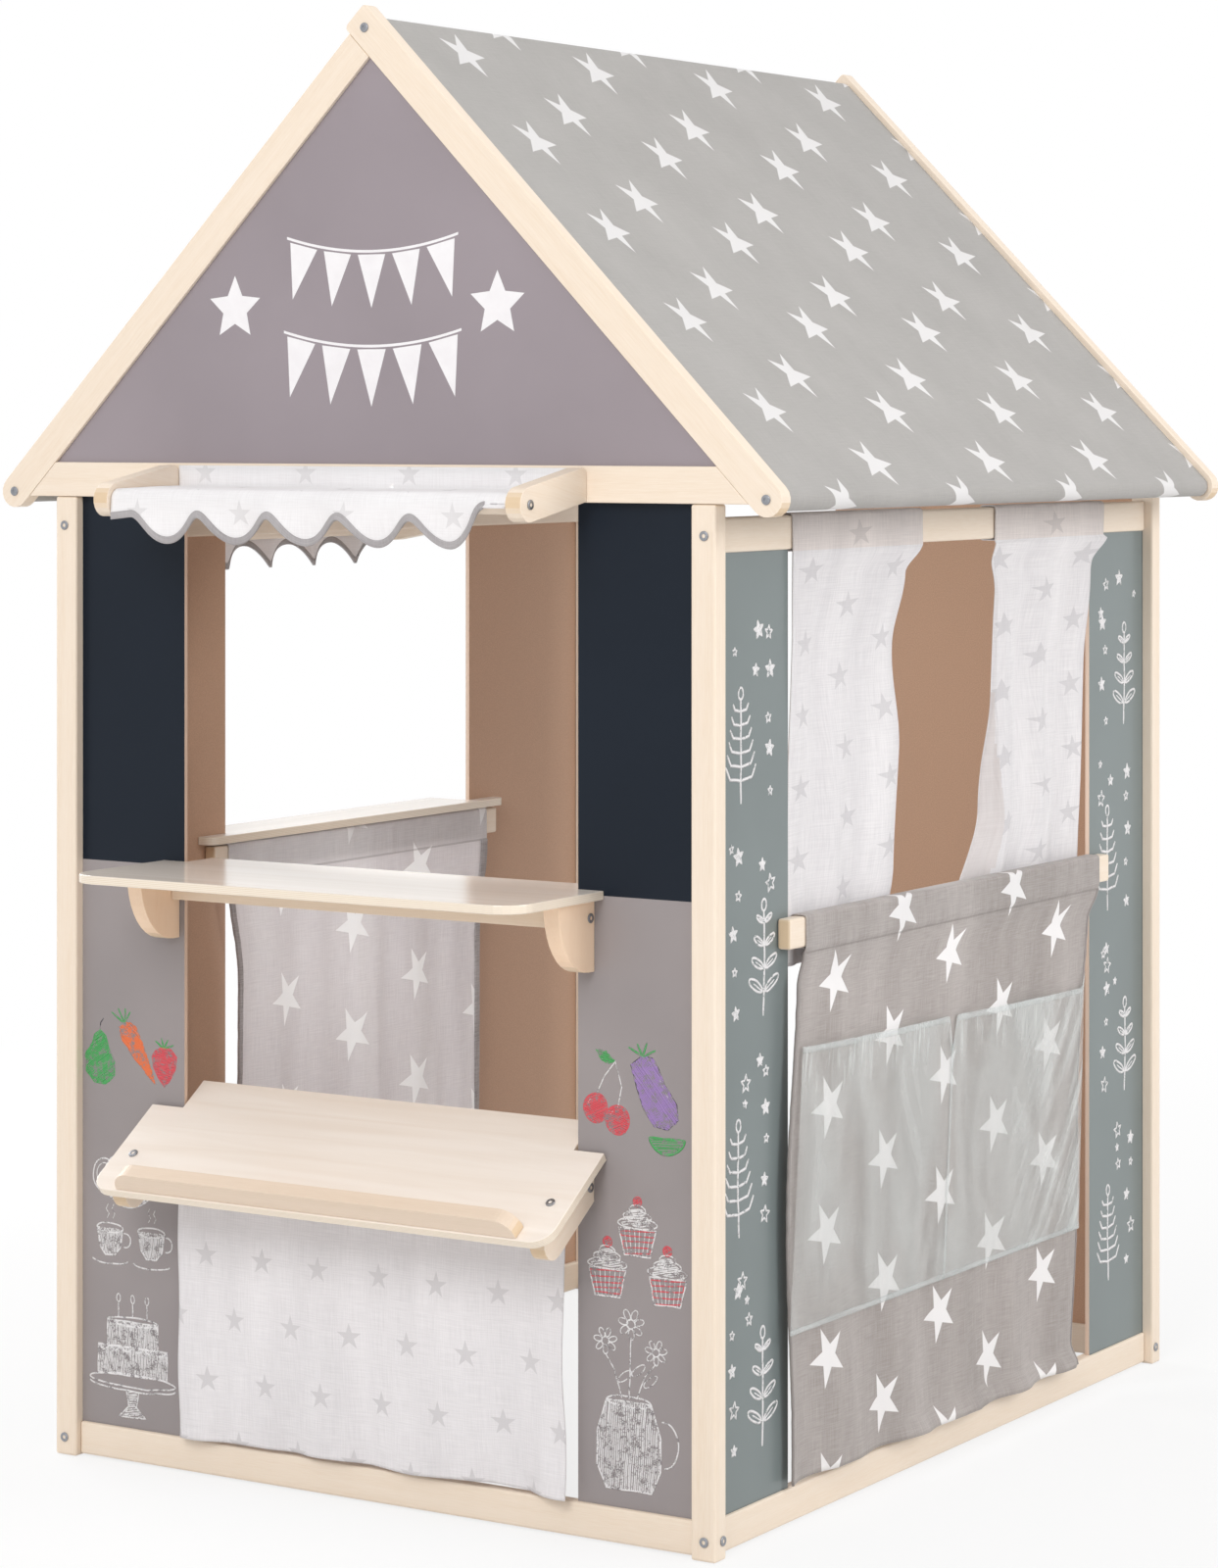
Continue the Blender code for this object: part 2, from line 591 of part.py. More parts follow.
def rafter_outline(right):
    """A rafter's outline in x and z, round at the eave; the right one runs on past the ridge."""
    half = RAFTER_WIDTH / 2
    foot = Vector((EAVE_X, EAVE_Z))
    uphill = Vector((-cos(ROOF_PITCH), sin(ROOF_PITCH)))
    outward = Vector((sin(ROOF_PITCH), cos(ROOF_PITCH)))
    run = EAVE_X / cos(ROOF_PITCH)
    start = pi / 2 - ROOF_PITCH
    outline = arc(foot, half, start, start - pi, 10)
    if right:
        head = foot + uphill * (run + RAFTER_OVERHANG - END_ROUND)
        turn = start + pi / 2
        outline += arc(head - outward * (half - END_ROUND), END_ROUND, turn + pi / 2, turn, 3)
        outline += arc(head + outward * (half - END_ROUND), END_ROUND, turn, turn - pi / 2, 3)
        return outline
    for offset in (-half, half):
        short = (half + SEAT_GAP + offset * cos(2 * ROOF_PITCH)) / sin(2 * ROOF_PITCH)
        outline.append(tuple(foot + uphill * (run - short) + outward * offset))
    return [(-x, z) for x, z in outline]


def gable_panel_outline():
    """The grey gable panel: a triangle seated in the chord and in both rafters."""
    seat = GROOVE_DEPTH - 2 * SEAT_GAP
    apex = INNER_APEX_Z + seat / cos(ROOF_PITCH)
    low = CHORD_TOP - seat
    reach = (apex - low) / tan(ROOF_PITCH)
    return [(-reach, low), (reach, low), (0.0, apex)]


def build_gable(shop, end):
    """Chord, two rafters and panel of one gable; gives back the front rafters, to be bolted to the dowels."""
    outward = -1 if end == "front" else 1
    face = 0.0 if end == "front" else BODY_DEPTH

    def y_at(depth):
        """The y of a depth behind this gable's face."""
        return face - outward * depth

    half = RAFTER_WIDTH / 2
    slack_chord = SEAT_GAP / sin(ROOF_PITCH)
    chord_low = (INNER_APEX_Z - CHORD_BOTTOM) / tan(ROOF_PITCH) - slack_chord
    chord_high = (INNER_APEX_Z - CHORD_TOP) / tan(ROOF_PITCH) - slack_chord
    chord = plate(shop, end + "_gable_chord",
                  [(-chord_low, CHORD_BOTTOM), (chord_low, CHORD_BOTTOM),
                   (chord_high, CHORD_TOP), (-chord_high, CHORD_TOP)],
                  CHORD_THICKNESS, "beech", FACING_FRONT, (0, y_at(CHORD_THICKNESS / 2), 0), WOOD_ROUND / 2)
    groove_half = PANEL_THICKNESS / 2 + GROOVE_SLACK
    wall_mid = y_at(FRONT_PANEL_FACE + PANEL_THICKNESS / 2)
    if end == "front":
        spans = [(-POST_INNER_X - GROOVE_DEPTH, -FRONT_OPENING / 2 + GROOVE_SLACK),
                 (FRONT_OPENING / 2 - GROOVE_SLACK, POST_INNER_X + GROOVE_DEPTH)]
    else:
        spans = [(DOORWAY_RIGHT_X - GROOVE_SLACK, POST_INNER_X + GROOVE_DEPTH)]
    for low, high in spans:
        groove(shop, chord, (low, wall_mid - groove_half, CHORD_BOTTOM - GROOVE_DEPTH),
               (high, wall_mid + groove_half, CHORD_BOTTOM + GROOVE_DEPTH))
    gable_mid = y_at(GABLE_PANEL_RECESS + PANEL_THICKNESS / 2)
    groove(shop, chord, (-chord_low, gable_mid - groove_half, CHORD_TOP - GROOVE_DEPTH),
           (chord_low, gable_mid + groove_half, CHORD_TOP + GROOVE_DEPTH))
    plate(shop, end + "_gable_panel", gable_panel_outline(), PANEL_THICKNESS, "grey_panel",
          FACING_FRONT, (0, gable_mid, 0))
    rafters = {}
    for side, right in (("left", False), ("right", True)):
        rafter = plate(shop, end + "_rafter_" + side, rafter_outline(right), RAFTER_THICKNESS, "beech",
                       FACING_FRONT, (0, y_at(RAFTER_THICKNESS / 2), 0), WOOD_ROUND)
        reach = (CROSSING_Z - CHORD_BOTTOM) / sin(ROOF_PITCH)
        slot = box_mesh(end + "_" + side + "_slot", (2 * GROOVE_DEPTH, 2 * groove_half, reach))
        x_sign = 1 if right else -1
        slot.transform(Matrix.Rotation(x_sign * (ROOF_PITCH - pi / 2), 4, "Y"))
        half_way = (CHORD_BOTTOM + CROSSING_Z) / 2
        x_mid = x_sign * ((CROSSING_Z - half_way) / tan(ROOF_PITCH) - half / sin(ROOF_PITCH))
        slot_item = shop.add_cutter(rafter.name + "_slot", slot, (x_mid, gable_mid, half_way))
        cut(rafter, slot_item)
        if end == "front":
            rafters[side] = rafter
            continue
        spots = [((x_sign * EAVE_X, face, EAVE_Z), (0, outward, 0))]
        if right:
            spots.append(((RIDGE_X, face, RIDGE_Z), (0, outward, 0)))
        fuse_bolts(shop, rafter, spots)
    return rafters


def build_roof(shop, rafters):
    """Ridge and eave dowels between the gables, and the fabric laid over and round them."""
    y_start = RAFTER_THICKNESS + SEAT_GAP
    y_stop = BODY_DEPTH - y_start
    for name, x, z, side in (("ridge", RIDGE_X, RIDGE_Z, "right"), ("eave_left", -EAVE_X, EAVE_Z, "left"),
                             ("eave_right", EAVE_X, EAVE_Z, "right")):
        rod = dowel(shop, name + "_dowel", (x, y_start, z), (x, y_stop, z), DOWEL_RADIUS)
        gable_bolt(shop, name + "_bolt", (x, 0, z), rafters[side], rod)
    radius = DOWEL_RADIUS + ROOF_FABRIC_SLACK + FABRIC_THICKNESS / 2
    left_lean = pi / 2 + slope_between(-EAVE_X)
    right_lean = pi / 2 - slope_between(EAVE_X)
    profile = []
    profile += arc((-EAVE_X, EAVE_Z), radius, left_lean + ROOF_HEM_TURN, left_lean, 14)
    profile += arc((RIDGE_X, RIDGE_Z), radius, left_lean, right_lean, 6)
    profile += arc((EAVE_X, EAVE_Z), radius, right_lean, right_lean - ROOF_HEM_TURN, 14)
    points = []
    for first, second in zip(profile, profile[1:]):
        steps = 5 if abs(first[0] - second[0]) > EAVE_X / 2 else 1
        for k in range(steps):
            points.append((first, second, k / steps, steps > 1))
    count = len(points)
    y_low = y_start + ROOF_FABRIC_INSET
    y_high = y_stop - ROOF_FABRIC_INSET

    def surface(u, v):
        """One point of the roof fabric."""
        index = round(u * count)
        y = y_low + (y_high - y_low) * v
        if index == count:
            return (profile[-1][0], y, profile[-1][1])
        first, second, part, sloping = points[index]
        x = first[0] + (second[0] - first[0]) * part
        z = first[1] + (second[1] - first[1]) * part
        sag = ROOF_SAG * sin(pi * part) * sin(pi * v) if sloping else 0.0
        return (x, y, z - sag)

    cloth(shop, "roof_fabric", surface, count, 6, "roof_fabric")


def slope_between(eave_x):
    """The slope of the line from an eave dowel to the ridge dowel."""
    return Vector((abs(eave_x - RIDGE_X), RIDGE_Z - EAVE_Z)).angle(Vector((1, 0)))


def board_outline(width, front, back, tongue_width, tongue, corner, tongue_shift=0.0):
    """A board's outline: rounded at the front, with a narrower tongue at the back."""
    half = width / 2
    tongue_left = tongue_shift - tongue_width / 2
    tongue_right = tongue_shift + tongue_width / 2
    outline = arc((-half + corner, front + corner), corner, pi, 1.5 * pi, 6)
    outline += arc((half - corner, front + corner), corner, 1.5 * pi, 2 * pi, 6)
    outline += [(half, back), (tongue_right, back), (tongue_right, tongue),
                (tongue_left, tongue), (tongue_left, back), (-half, back)]
    return outline


def build_counter(shop):
    """The level counter under the window, on two quarter-round brackets with a stiffener between."""
    back = FRONT_PANEL_FACE - SEAT_GAP
    tongue_width = FRONT_OPENING - 2 * TONGUE_GAP
    shift = BRACKET_SHIFT + SHELF_SHIFT
    outline = board_outline(SHELF_WIDTH, -SHELF_REACH, back, tongue_width, FRONT_PANEL_FACE + TONGUE_DEPTH,
                            SHELF_CORNER, -shift)
    mid_z = SHELF_TOP - SHELF_THICKNESS / 2
    plate(shop, "counter_shelf", outline, SHELF_THICKNESS, "shelf_ply", None, (shift, 0, mid_z),
          BOARD_ROUND)
    top = SHELF_TOP - SHELF_THICKNESS - SEAT_GAP
    quarter = BRACKET_DEPTH - BRACKET_FOOT
    bracket = [(back, top), (back, top - BRACKET_HEIGHT)]
    bracket += [(back - BRACKET_FOOT - quarter * sin(k * pi / 20), top - BRACKET_HEIGHT * cos(k * pi / 20))
                for k in range(11)]
    for side, x_sign in (("left", -1), ("right", 1)):
        x = BRACKET_SHIFT + x_sign * (BRACKET_X - BRACKET_THICKNESS / 2)
        item = plate(shop, "counter_bracket_" + side, bracket, BRACKET_THICKNESS, "beech",
                     FACING_SIDE, (x, 0, 0), BRACKET_ROUND)
        fuse_bolts(shop, item, [counter_bolt(x_sign)])
    reach = BRACKET_X - BRACKET_THICKNESS - SEAT_GAP
    low = (BRACKET_SHIFT - reach, back - STIFFENER_THICKNESS, top - STIFFENER_HEIGHT)
    batten(shop, "counter_stiffener", low, (BRACKET_SHIFT + reach, back, top))


def counter_bolt(x_sign):
    """The bolt on a counter bracket's outer face."""
    z = SHELF_TOP - SHELF_THICKNESS - BRACKET_HEIGHT / 4
    return ((BRACKET_SHIFT + x_sign * BRACKET_X, FRONT_PANEL_FACE - 2 * BOLT_HEAD_RADIUS, z), (x_sign, 0, 0))


def tray_place(along, lift):
    """The y and z of a tray point: along the slope from the panel face, and above the tray's top."""
    start = FRONT_PANEL_FACE - SEAT_GAP - SHELF_THICKNESS * sin(TRAY_TILT)
    y = start - along * cos(TRAY_TILT) - lift * sin(TRAY_TILT)
    z = TRAY_TOP - along * sin(TRAY_TILT) + lift * cos(TRAY_TILT)
    return y, z


def build_tray(shop):
    """The display tray: a board tilted to the front, with a lip, on two rounded brackets."""
    shift = BRACKET_SHIFT
    outline = board_outline(TRAY_WIDTH, -TRAY_SLOPE, 0.0, FRONT_OPENING - 2 * TONGUE_GAP, TRAY_TONGUE,
                            TRAY_CORNER, -shift)
    mid_y, mid_z = tray_place(0, -SHELF_THICKNESS / 2)
    board = plate(shop, "display_tray", outline, SHELF_THICKNESS, "shelf_ply", None, (shift, mid_y, mid_z),
                  BOARD_ROUND)
    board.rotation_euler = (TRAY_TILT, 0, 0)
    upward = (0, -sin(TRAY_TILT), cos(TRAY_TILT))
    fuse_bolts(shop, board, [((shift + x_sign * (BRACKET_X - BRACKET_THICKNESS / 2),
                               *tray_place(TRAY_SCREW_PLACE, 0)), upward) for x_sign in (-1, 1)])
    lip_half = LIP_LENGTH / 2
    lip = arc((lip_half - LIP_HEIGHT, 0), LIP_HEIGHT - SEAT_GAP, 0, pi / 2, 7)
    lip += arc((-lip_half + LIP_HEIGHT, 0), LIP_HEIGHT - SEAT_GAP, pi / 2, pi, 7)
    lip_y, lip_z = tray_place(TRAY_SLOPE - LIP_SETBACK - LIP_THICKNESS / 2, SEAT_GAP)
    item = plate(shop, "tray_lip", lip, LIP_THICKNESS, "beech", FACING_FRONT, (shift, lip_y, lip_z),
                 BRACKET_ROUND)
    item.rotation_euler = (TRAY_TILT, 0, 0)
    bracket = tray_bracket_outline()
    for side, x_sign in (("left", -1), ("right", 1)):
        x = shift + x_sign * (BRACKET_X - BRACKET_THICKNESS / 2)
        item = plate(shop, "tray_bracket_" + side, bracket, BRACKET_THICKNESS, "beech",
                     FACING_SIDE, (x, 0, 0), BRACKET_ROUND)
        seat_x = x + x_sign * (SEAT_GAP - BRACKET_THICKNESS / 2)
        seat = shop.add_cutter(item.name + "_rod_seat", rod_seat_mesh(), (seat_x, ROD_DEPTH, ROD_HEIGHT))
        cut(item, seat)
        fuse_bolts(shop, item, [tray_bolt(x_sign)])


def rod_seat_mesh():
    """A blind bore for the curtain rod, reaching half way into a tray bracket."""
    mesh = bpy.data.meshes.new("rod_seat")
    shape = bmesh.new()
    turn = Matrix.Rotation(pi / 2, 4, "Y")
    bmesh.ops.create_cone(shape, cap_ends=True, segments=16, radius1=ROD_RADIUS + CLOTH_GAP,
                          radius2=ROD_RADIUS + CLOTH_GAP, depth=BRACKET_THICKNESS, matrix=turn)
    shape.to_mesh(mesh)
    shape.free()
    return mesh


def tray_bracket_outline():
    """A batten under the tray in y and z: cut upright at the panel, fully round at its low end."""
    radius = TRAY_BRACKET_DEPTH / 2
    back = FRONT_PANEL_FACE - SEAT_GAP
    under = -SHELF_THICKNESS - SEAT_GAP
    centre = tray_place(TRAY_BRACKET_LENGTH - radius, under - radius)
    start = TRAY_TILT + pi / 2
    rounded = arc(centre, radius, start, start + pi, 10)
    outline = []
    for lift in (under - TRAY_BRACKET_DEPTH, under):
        y, z = tray_place(0, lift)
        outline.append((back, z + (back - y) * tan(TRAY_TILT)))
    return outline + rounded


def tray_bolt(x_sign):
    """The bolt on a tray bracket's outer face."""
    y = FRONT_PANEL_FACE - 2 * BOLT_HEAD_RADIUS
    return ((BRACKET_SHIFT + x_sign * BRACKET_X, y, TRAY_TOP - TRAY_BRACKET_DEPTH), (x_sign, 0, 0))


def build_front_curtain(shop):
    """The cotton curtain below the tray, with its sleeve round a dowel between the brackets."""
    reach = BRACKET_X - BRACKET_THICKNESS / 2
    dowel(shop, "curtain_rod", (BRACKET_SHIFT - reach, ROD_DEPTH, ROD_HEIGHT),
          (BRACKET_SHIFT + reach, ROD_DEPTH, ROD_HEIGHT), ROD_RADIUS)
    pivot = shop.axis("front_curtain_axis", Vector((0, ROD_DEPTH, ROD_HEIGHT)))
    ring = arc((ROD_DEPTH, ROD_HEIGHT), ROD_SLEEVE_RADIUS, -pi / 2 + 0.35, -pi / 2 + 2 * pi - 0.12, 12)
    path = ring + [(ROD_DEPTH, ROD_HEIGHT - 2.2 * ROD_SLEEVE_RADIUS), (ROD_DEPTH, FRONT_CURTAIN_BOTTOM)]
    hang_start = 12 + 1
    drops = 6
    rows = hang_start + drops

    def surface(u, v):
        """One point of the front curtain."""
        row = round(v * rows)
        x = (u - 0.5) * FRONT_CURTAIN_WIDTH
        if row <= hang_start:
            y, z = path[row]
            return (x, y, z)
        part = (row - hang_start) / drops
        z = path[-2][1] + (path[-1][1] - path[-2][1]) * part
        wave = sin(6.5 * pi * u) + 0.5 * sin(3 * pi * u + 1.0)
        y = ROD_DEPTH + FRONT_CURTAIN_FOLD / 1.5 * wave * part
        return (x - FRONT_CURTAIN_SWAY * sin(1.5 * pi * part), y, z)

    cloth(shop, "front_curtain", surface, 20, rows, "white_cotton", pivot, pivot.location)


def build_awning(shop, name, to_stand, attach_z):
    """Two arms, a dowel and a scalloped cloth; to_stand turns (across, outward, z) into stand coordinates."""
    out_dowel = ARM_AXIS_REACH * cos(ARM_TILT) + SEAT_GAP
    z_dowel = attach_z - ARM_AXIS_REACH * sin(ARM_TILT)
    arm = arm_outline(out_dowel, z_dowel, attach_z)
    for side, sign in (("left", -1), ("right", 1)):
        across = AWNING_SHIFT + sign * (AWNING_SPAN - ARM_THICKNESS) / 2
        mesh = outline_mesh(name + "_arm_" + side, arm, ARM_THICKNESS)
        mesh.transform(to_stand @ Matrix.Translation((across, 0, 0)) @ FACING_SIDE)
        item = round_edges(shop.add(name + "_arm_" + side, mesh, "beech"), BRACKET_ROUND)
        outer = across + sign * ARM_THICKNESS / 2
        fuse_bolts(shop, item, [(to_stand @ Vector((outer, -out_dowel, z_dowel)),
                                 to_stand.to_3x3() @ Vector((sign, 0, 0)))])
    reach = AWNING_SPAN / 2 - ARM_THICKNESS - SEAT_GAP
    dowel(shop, name + "_dowel", to_stand @ Vector((AWNING_SHIFT - reach, -out_dowel, z_dowel)),
          to_stand @ Vector((AWNING_SHIFT + reach, -out_dowel, z_dowel)), DOWEL_RADIUS)
    radius = DOWEL_RADIUS + CLOTH_GAP + FABRIC_THICKNESS / 2
    strip_top = attach_z + AWNING_HEM_LIFT
    strip_foot = strip_top - AWNING_HEM_WIDTH
    skin = SEAT_GAP + FABRIC_THICKNESS / 2
    fall = strip_foot - z_dowel - radius
    path = [(skin, strip_top), (skin, strip_foot)]
    path += [(out_dowel * share, strip_foot - fall * share) for share in (0.33, 0.66)]
    path += arc((out_dowel, z_dowel), radius, pi / 2, 0.0, 4)
    last = len(path) - 1
    drops = 4
    rows = last + drops
    scallops = int((AWNING_CLOTH_WIDTH - FIRST_CREST) / SCALLOP_PITCH)
    last_trough = FIRST_CREST + SCALLOP_PITCH * (scallops - 0.5)

    def surface(u, v):
        """One point of the awning cloth."""
        row = round(v * rows)
        along = u * AWNING_CLOTH_WIDTH
        across = AWNING_SHIFT + along - AWNING_CLOTH_WIDTH / 2
        if row <= last:
            out, z = path[row]
            return to_stand @ Vector((across, -out, z))
        part = (row - last) / drops
        crest = 0.5 + 0.5 * cos(2 * pi * (along - FIRST_CREST) / SCALLOP_PITCH)
        rise = VALANCE_RISE
        if along > last_trough:
            crest = 0.5 - 0.5 * cos(pi * min(1.0, 2 * (along - last_trough) / SCALLOP_PITCH))
            rise = VALANCE_DROP - VALANCE_END_DROP
        drop = VALANCE_DROP - rise * crest
        out = path[-1][0] + VALANCE_FOLD * (0.4 - crest) * part
        return to_stand @ Vector((across, -out, z_dowel - drop * part))

    columns = 6 * round(AWNING_CLOTH_WIDTH / SCALLOP_PITCH)
    cloth(shop, name + "_cloth", surface, columns, rows, "white_cotton")


def arm_outline(out_dowel, z_dowel, attach_z):
    """An awning arm seen from its side: upright at the wall, its upper corner and outer end round."""
    half = ARM_HEIGHT / 2
    start = pi / 2 + ARM_TILT
    outline = arc((-out_dowel, z_dowel), half, start, start + pi, 10)
    outline.append((-SEAT_GAP, attach_z - half / cos(ARM_TILT)))
    corner_z = attach_z + (half - ARM_CORNER - ARM_CORNER * sin(ARM_TILT)) / cos(ARM_TILT)
    return outline + arc((-SEAT_GAP - ARM_CORNER, corner_z), ARM_CORNER, 0, start, 5)


def build_awnings(shop):
    """One awning on the front gable chord and one on the left top rail."""
    build_awning(shop, "front_awning", Matrix.Identity(4), (CHORD_BOTTOM + CHORD_TOP) / 2)
    left = Matrix.Translation((-SIDE_RAIL_X, LEFT_MIDDLE_Y, 0)) @ Matrix.Rotation(-pi / 2, 4, "Z")
    build_awning(shop, "left_awning", left, (TOP_RAIL_BOTTOM + TOP_RAIL_TOP) / 2)


def sleeve_path(x_low, x_high, z_low, z_high, gap, seam_x, seam_z):
    """A sleeve's section in x and z: round a bar and back to the seam under it."""
    grow = gap + FABRIC_THICKNESS / 2
    x_low, x_high = x_low - grow, x_high + grow
    z_low, z_high = z_low - grow, z_high + grow
    inner = 1 if abs(seam_x - x_high) < abs(seam_x - x_low) else -1
    near_x = x_high if inner > 0 else x_low
    far_x = x_low if inner > 0 else x_high
    split = FABRIC_THICKNESS * 1.5
    return [(seam_x - inner * split, z_low), (far_x, z_low), (far_x, z_high),
            (near_x, z_high), (near_x, z_low), (seam_x, seam_z)]


def build_apron(shop, name, bar_low_x, bar_bottom, edges, bottom, sleeve_edges, hang_x, lean=0.0):
    """A sleeve fixed round a bar, and the apron that swings from the seam under it, leaning to the front."""
    seam_z = bar_bottom - APRON_SEAM
    path = sleeve_path(bar_low_x, bar_low_x + BAR_THICKNESS, bar_bottom, bar_bottom + BAR_HEIGHT,
                       CLOTH_GAP, hang_x, seam_z)
    rows = len(path) - 1
    y_low, y_high = sleeve_edges

    def sleeve_surface(u, v):
        """One point of the sleeve."""
        x, z = path[round(v * rows)]
        return (x, y_low + (y_high - y_low) * u, z)

    cloth(shop, name + "_sleeve", sleeve_surface, 3, rows, "grey_cotton")
    top = seam_z - HINGE_GAP - FABRIC_THICKNESS / 2
    pivot = shop.axis(name + "_axis", Vector((hang_x, 0, top)))
    low, high = edges

    def apron_surface(u, v):
        """One point of the hanging apron; the crests of its folds lie in one upright plane."""
        z = top + (bottom - top) * v
        valley = 0.5 - 0.5 * cos(8 * pi * u)
        waist = 1.0 - 0.010 * sin(pi * v)
        y = (low + high) / 2 + (high - low) * (u - 0.5) * waist - lean * (0.6 + 0.4 * v)
        return (hang_x - APRON_FOLD * valley * (0.25 + 0.75 * v) * min(1.0, 4 * v), y, z)

    cloth(shop, name, apron_surface, 24, 8, "grey_cotton", pivot, pivot.location)
    return pivot


def build_left_side(shop):
    """Ledge through the left window, its bar inside and the apron below it."""
    tongue_width = FRONT_OPENING - 2 * TONGUE_GAP
    inner = -SIDE_PANEL_INNER_X + SEAT_GAP
    outline = board_outline(LEDGE_WIDTH, -LEDGE_EAR, 0.0, tongue_width,
                            PANEL_THICKNESS + SEAT_GAP + LEDGE_TONGUE, LEDGE_CORNER)
    plate(shop, "left_ledge", outline, SHELF_THICKNESS, "shelf_ply", Matrix.Rotation(pi / 2, 4, "Z"),
          (inner, LEFT_MIDDLE_Y, SHELF_TOP - SHELF_THICKNESS / 2), BOARD_ROUND)
    batten(shop, "left_bar", (LEFT_BAR_X, LEFT_MIDDLE_Y - LEFT_BAR_LENGTH / 2, LEFT_BAR_BOTTOM),
           (LEFT_BAR_X + BAR_THICKNESS, LEFT_MIDDLE_Y + LEFT_BAR_LENGTH / 2, LEFT_BAR_TOP))
    half_sleeve = tongue_width / 2
    half_apron = LEFT_APRON_WIDTH / 2
    hang_x = LEFT_BAR_X + BAR_THICKNESS + CLOTH_GAP + FABRIC_THICKNESS / 2
    build_apron(shop, "left_apron", LEFT_BAR_X, LEFT_BAR_BOTTOM,
                (LEFT_MIDDLE_Y - half_apron, LEFT_MIDDLE_Y + half_apron), LEFT_APRON_BOTTOM,
                (LEFT_MIDDLE_Y - half_sleeve, LEFT_MIDDLE_Y + half_sleeve), hang_x)


def build_right_side(shop):
    """Bar across the right window outside, its apron with pockets, and two curtains above."""
    batten(shop, "right_bar", (RIGHT_BAR_X, MIDDLE_Y - RIGHT_BAR_LENGTH / 2, RIGHT_BAR_BOTTOM),
           (RIGHT_BAR_X + BAR_THICKNESS, MIDDLE_Y + RIGHT_BAR_LENGTH / 2, RIGHT_BAR_TOP))
    half = RIGHT_OPENING / 2 - APRON_MARGIN
    hang_x = RIGHT_BAR_X + BAR_THICKNESS - FABRIC_THICKNESS
    pivot = build_apron(shop, "right_apron", RIGHT_BAR_X, RIGHT_BAR_BOTTOM,
                        (MIDDLE_Y - half, MIDDLE_Y + half), RIGHT_APRON_BOTTOM,
                        (MIDDLE_Y - half, MIDDLE_Y + half), hang_x, RIGHT_APRON_LEAN)
    build_pockets(shop, pivot, hang_x + FABRIC_THICKNESS / 2 + SEAT_GAP, half * 0.970)
    for end, width in (("front", CURTAIN_FRONT_WIDTH), ("back", CURTAIN_BACK_WIDTH)):
        build_side_curtain(shop, end, width)


def build_pockets(shop, pivot, back_x, half):
    """Two clear pockets side by side: one film with walls at its sides, middle and foot, open on top."""
    size = Vector((POCKET_DEPTH, 2 * half, POCKET_TOP - POCKET_BOTTOM))
    middle = MIDDLE_Y - RIGHT_APRON_LEAN
    place = Vector((back_x + POCKET_DEPTH / 2, middle, (POCKET_TOP + POCKET_BOTTOM) / 2))
    film = shop.add("right_pockets", box_mesh("right_pockets", size), "clear_film", place, pivot)
    inner = Vector((2 * POCKET_DEPTH, half - 1.5 * POCKET_WALL, size.z))
    for side, y_sign in (("front", -1), ("back", 1)):
        spot = Vector((back_x - POCKET_WALL, middle + y_sign * (half - POCKET_WALL / 2) / 2,
                       place.z + POCKET_WALL))
        name = "pocket_space_" + side
        cut(film, shop.add_cutter(name, box_mesh(name, inner), spot))


def build_side_curtain(shop, end, width):
    """A curtain with its sleeve round the right top rail, drawn in behind the bar below."""
    near = MIDDLE_Y - RIGHT_OPENING / 2 + CURTAIN_GAP
    far = MIDDLE_Y + RIGHT_OPENING / 2 - CURTAIN_GAP
    grow = SLIDE_GAP + FABRIC_THICKNESS / 2
    x_low = SIDE_RAIL_X - RAIL_THICKNESS - grow
    x_high = SIDE_RAIL_X + grow
    z_low = TOP_RAIL_BOTTOM - grow
    z_high = TOP_RAIL_TOP + grow
    split = FABRIC_THICKNESS * 1.5
    ring = [(x_high - split, z_low), (x_low, z_low), (x_low, z_high), (x_high, z_high), (x_high, z_low)]
    last = len(ring) - 1
    drops = 9
    rows = last + drops
    x_foot = RIGHT_BAR_X - CLOTH_GAP - FABRIC_THICKNESS - SLIDE_GAP - FABRIC_THICKNESS / 2 - CURTAIN_FOLD
    if end == "front":
        inset = ((0.0, 0.0), (0.20, 0.038), (0.52, 0.022), (0.85, 0.045), (1.0, 0.040))
        outer = ((0.0, 0.0), (1.0, 0.0))
    else:
        inset = ((0.0, 0.006), (0.12, 0.020), (0.45, 0.012), (0.70, -0.018), (1.0, -0.085))
        outer = ((0.0, 0.0), (0.5, 0.010), (1.0, 0.024))

    def surface(u, v):
        """One point of a side curtain; u runs from the window's edge to the curtain's free edge."""
        row = round(v * rows)
        if row <= last:
            x, z = ring[row]
            reach = width * u
            y = near + reach if end == "front" else far - reach
            return (x, y, z)
        part = (row - last) / drops
        z = z_low + (CURTAIN_BOTTOM - z_low) * part
        start = smooth_table(outer, part)
        stop = width - smooth_table(inset, part)
        reach = start + (stop - start) * u
        y = near + reach if end == "front" else far - reach
        drawn_in = min(1.0, part / 0.80)
        wave = sin(5 * pi * u + 0.6) * (0.35 + 0.65 * part) * min(1.0, 3 * part)
        return (x_high + (x_foot - x_high) * drawn_in + CURTAIN_FOLD * wave, y, z)

    pivot = shop.axis("curtain_" + end + "_axis", Vector((SIDE_RAIL_X, near if end == "front" else far,
                                                         TOP_RAIL_TOP)))
    cloth(shop, "curtain_" + end, surface, 14, rows, "white_cotton", pivot, pivot.location)


def build_stand():
    """Build the whole stand."""
    clear_scene()
    shop = Workshop()
    build_posts(shop)
    build_rails(shop)
    build_panels(shop)
    rafters = build_gable(shop, "front")
    build_gable(shop, "back")
    build_roof(shop, rafters)
    build_counter(shop)
    build_tray(shop)
    build_front_curtain(shop)
    build_awnings(shop)
    build_left_side(shop)
    build_right_side(shop)


build_stand()
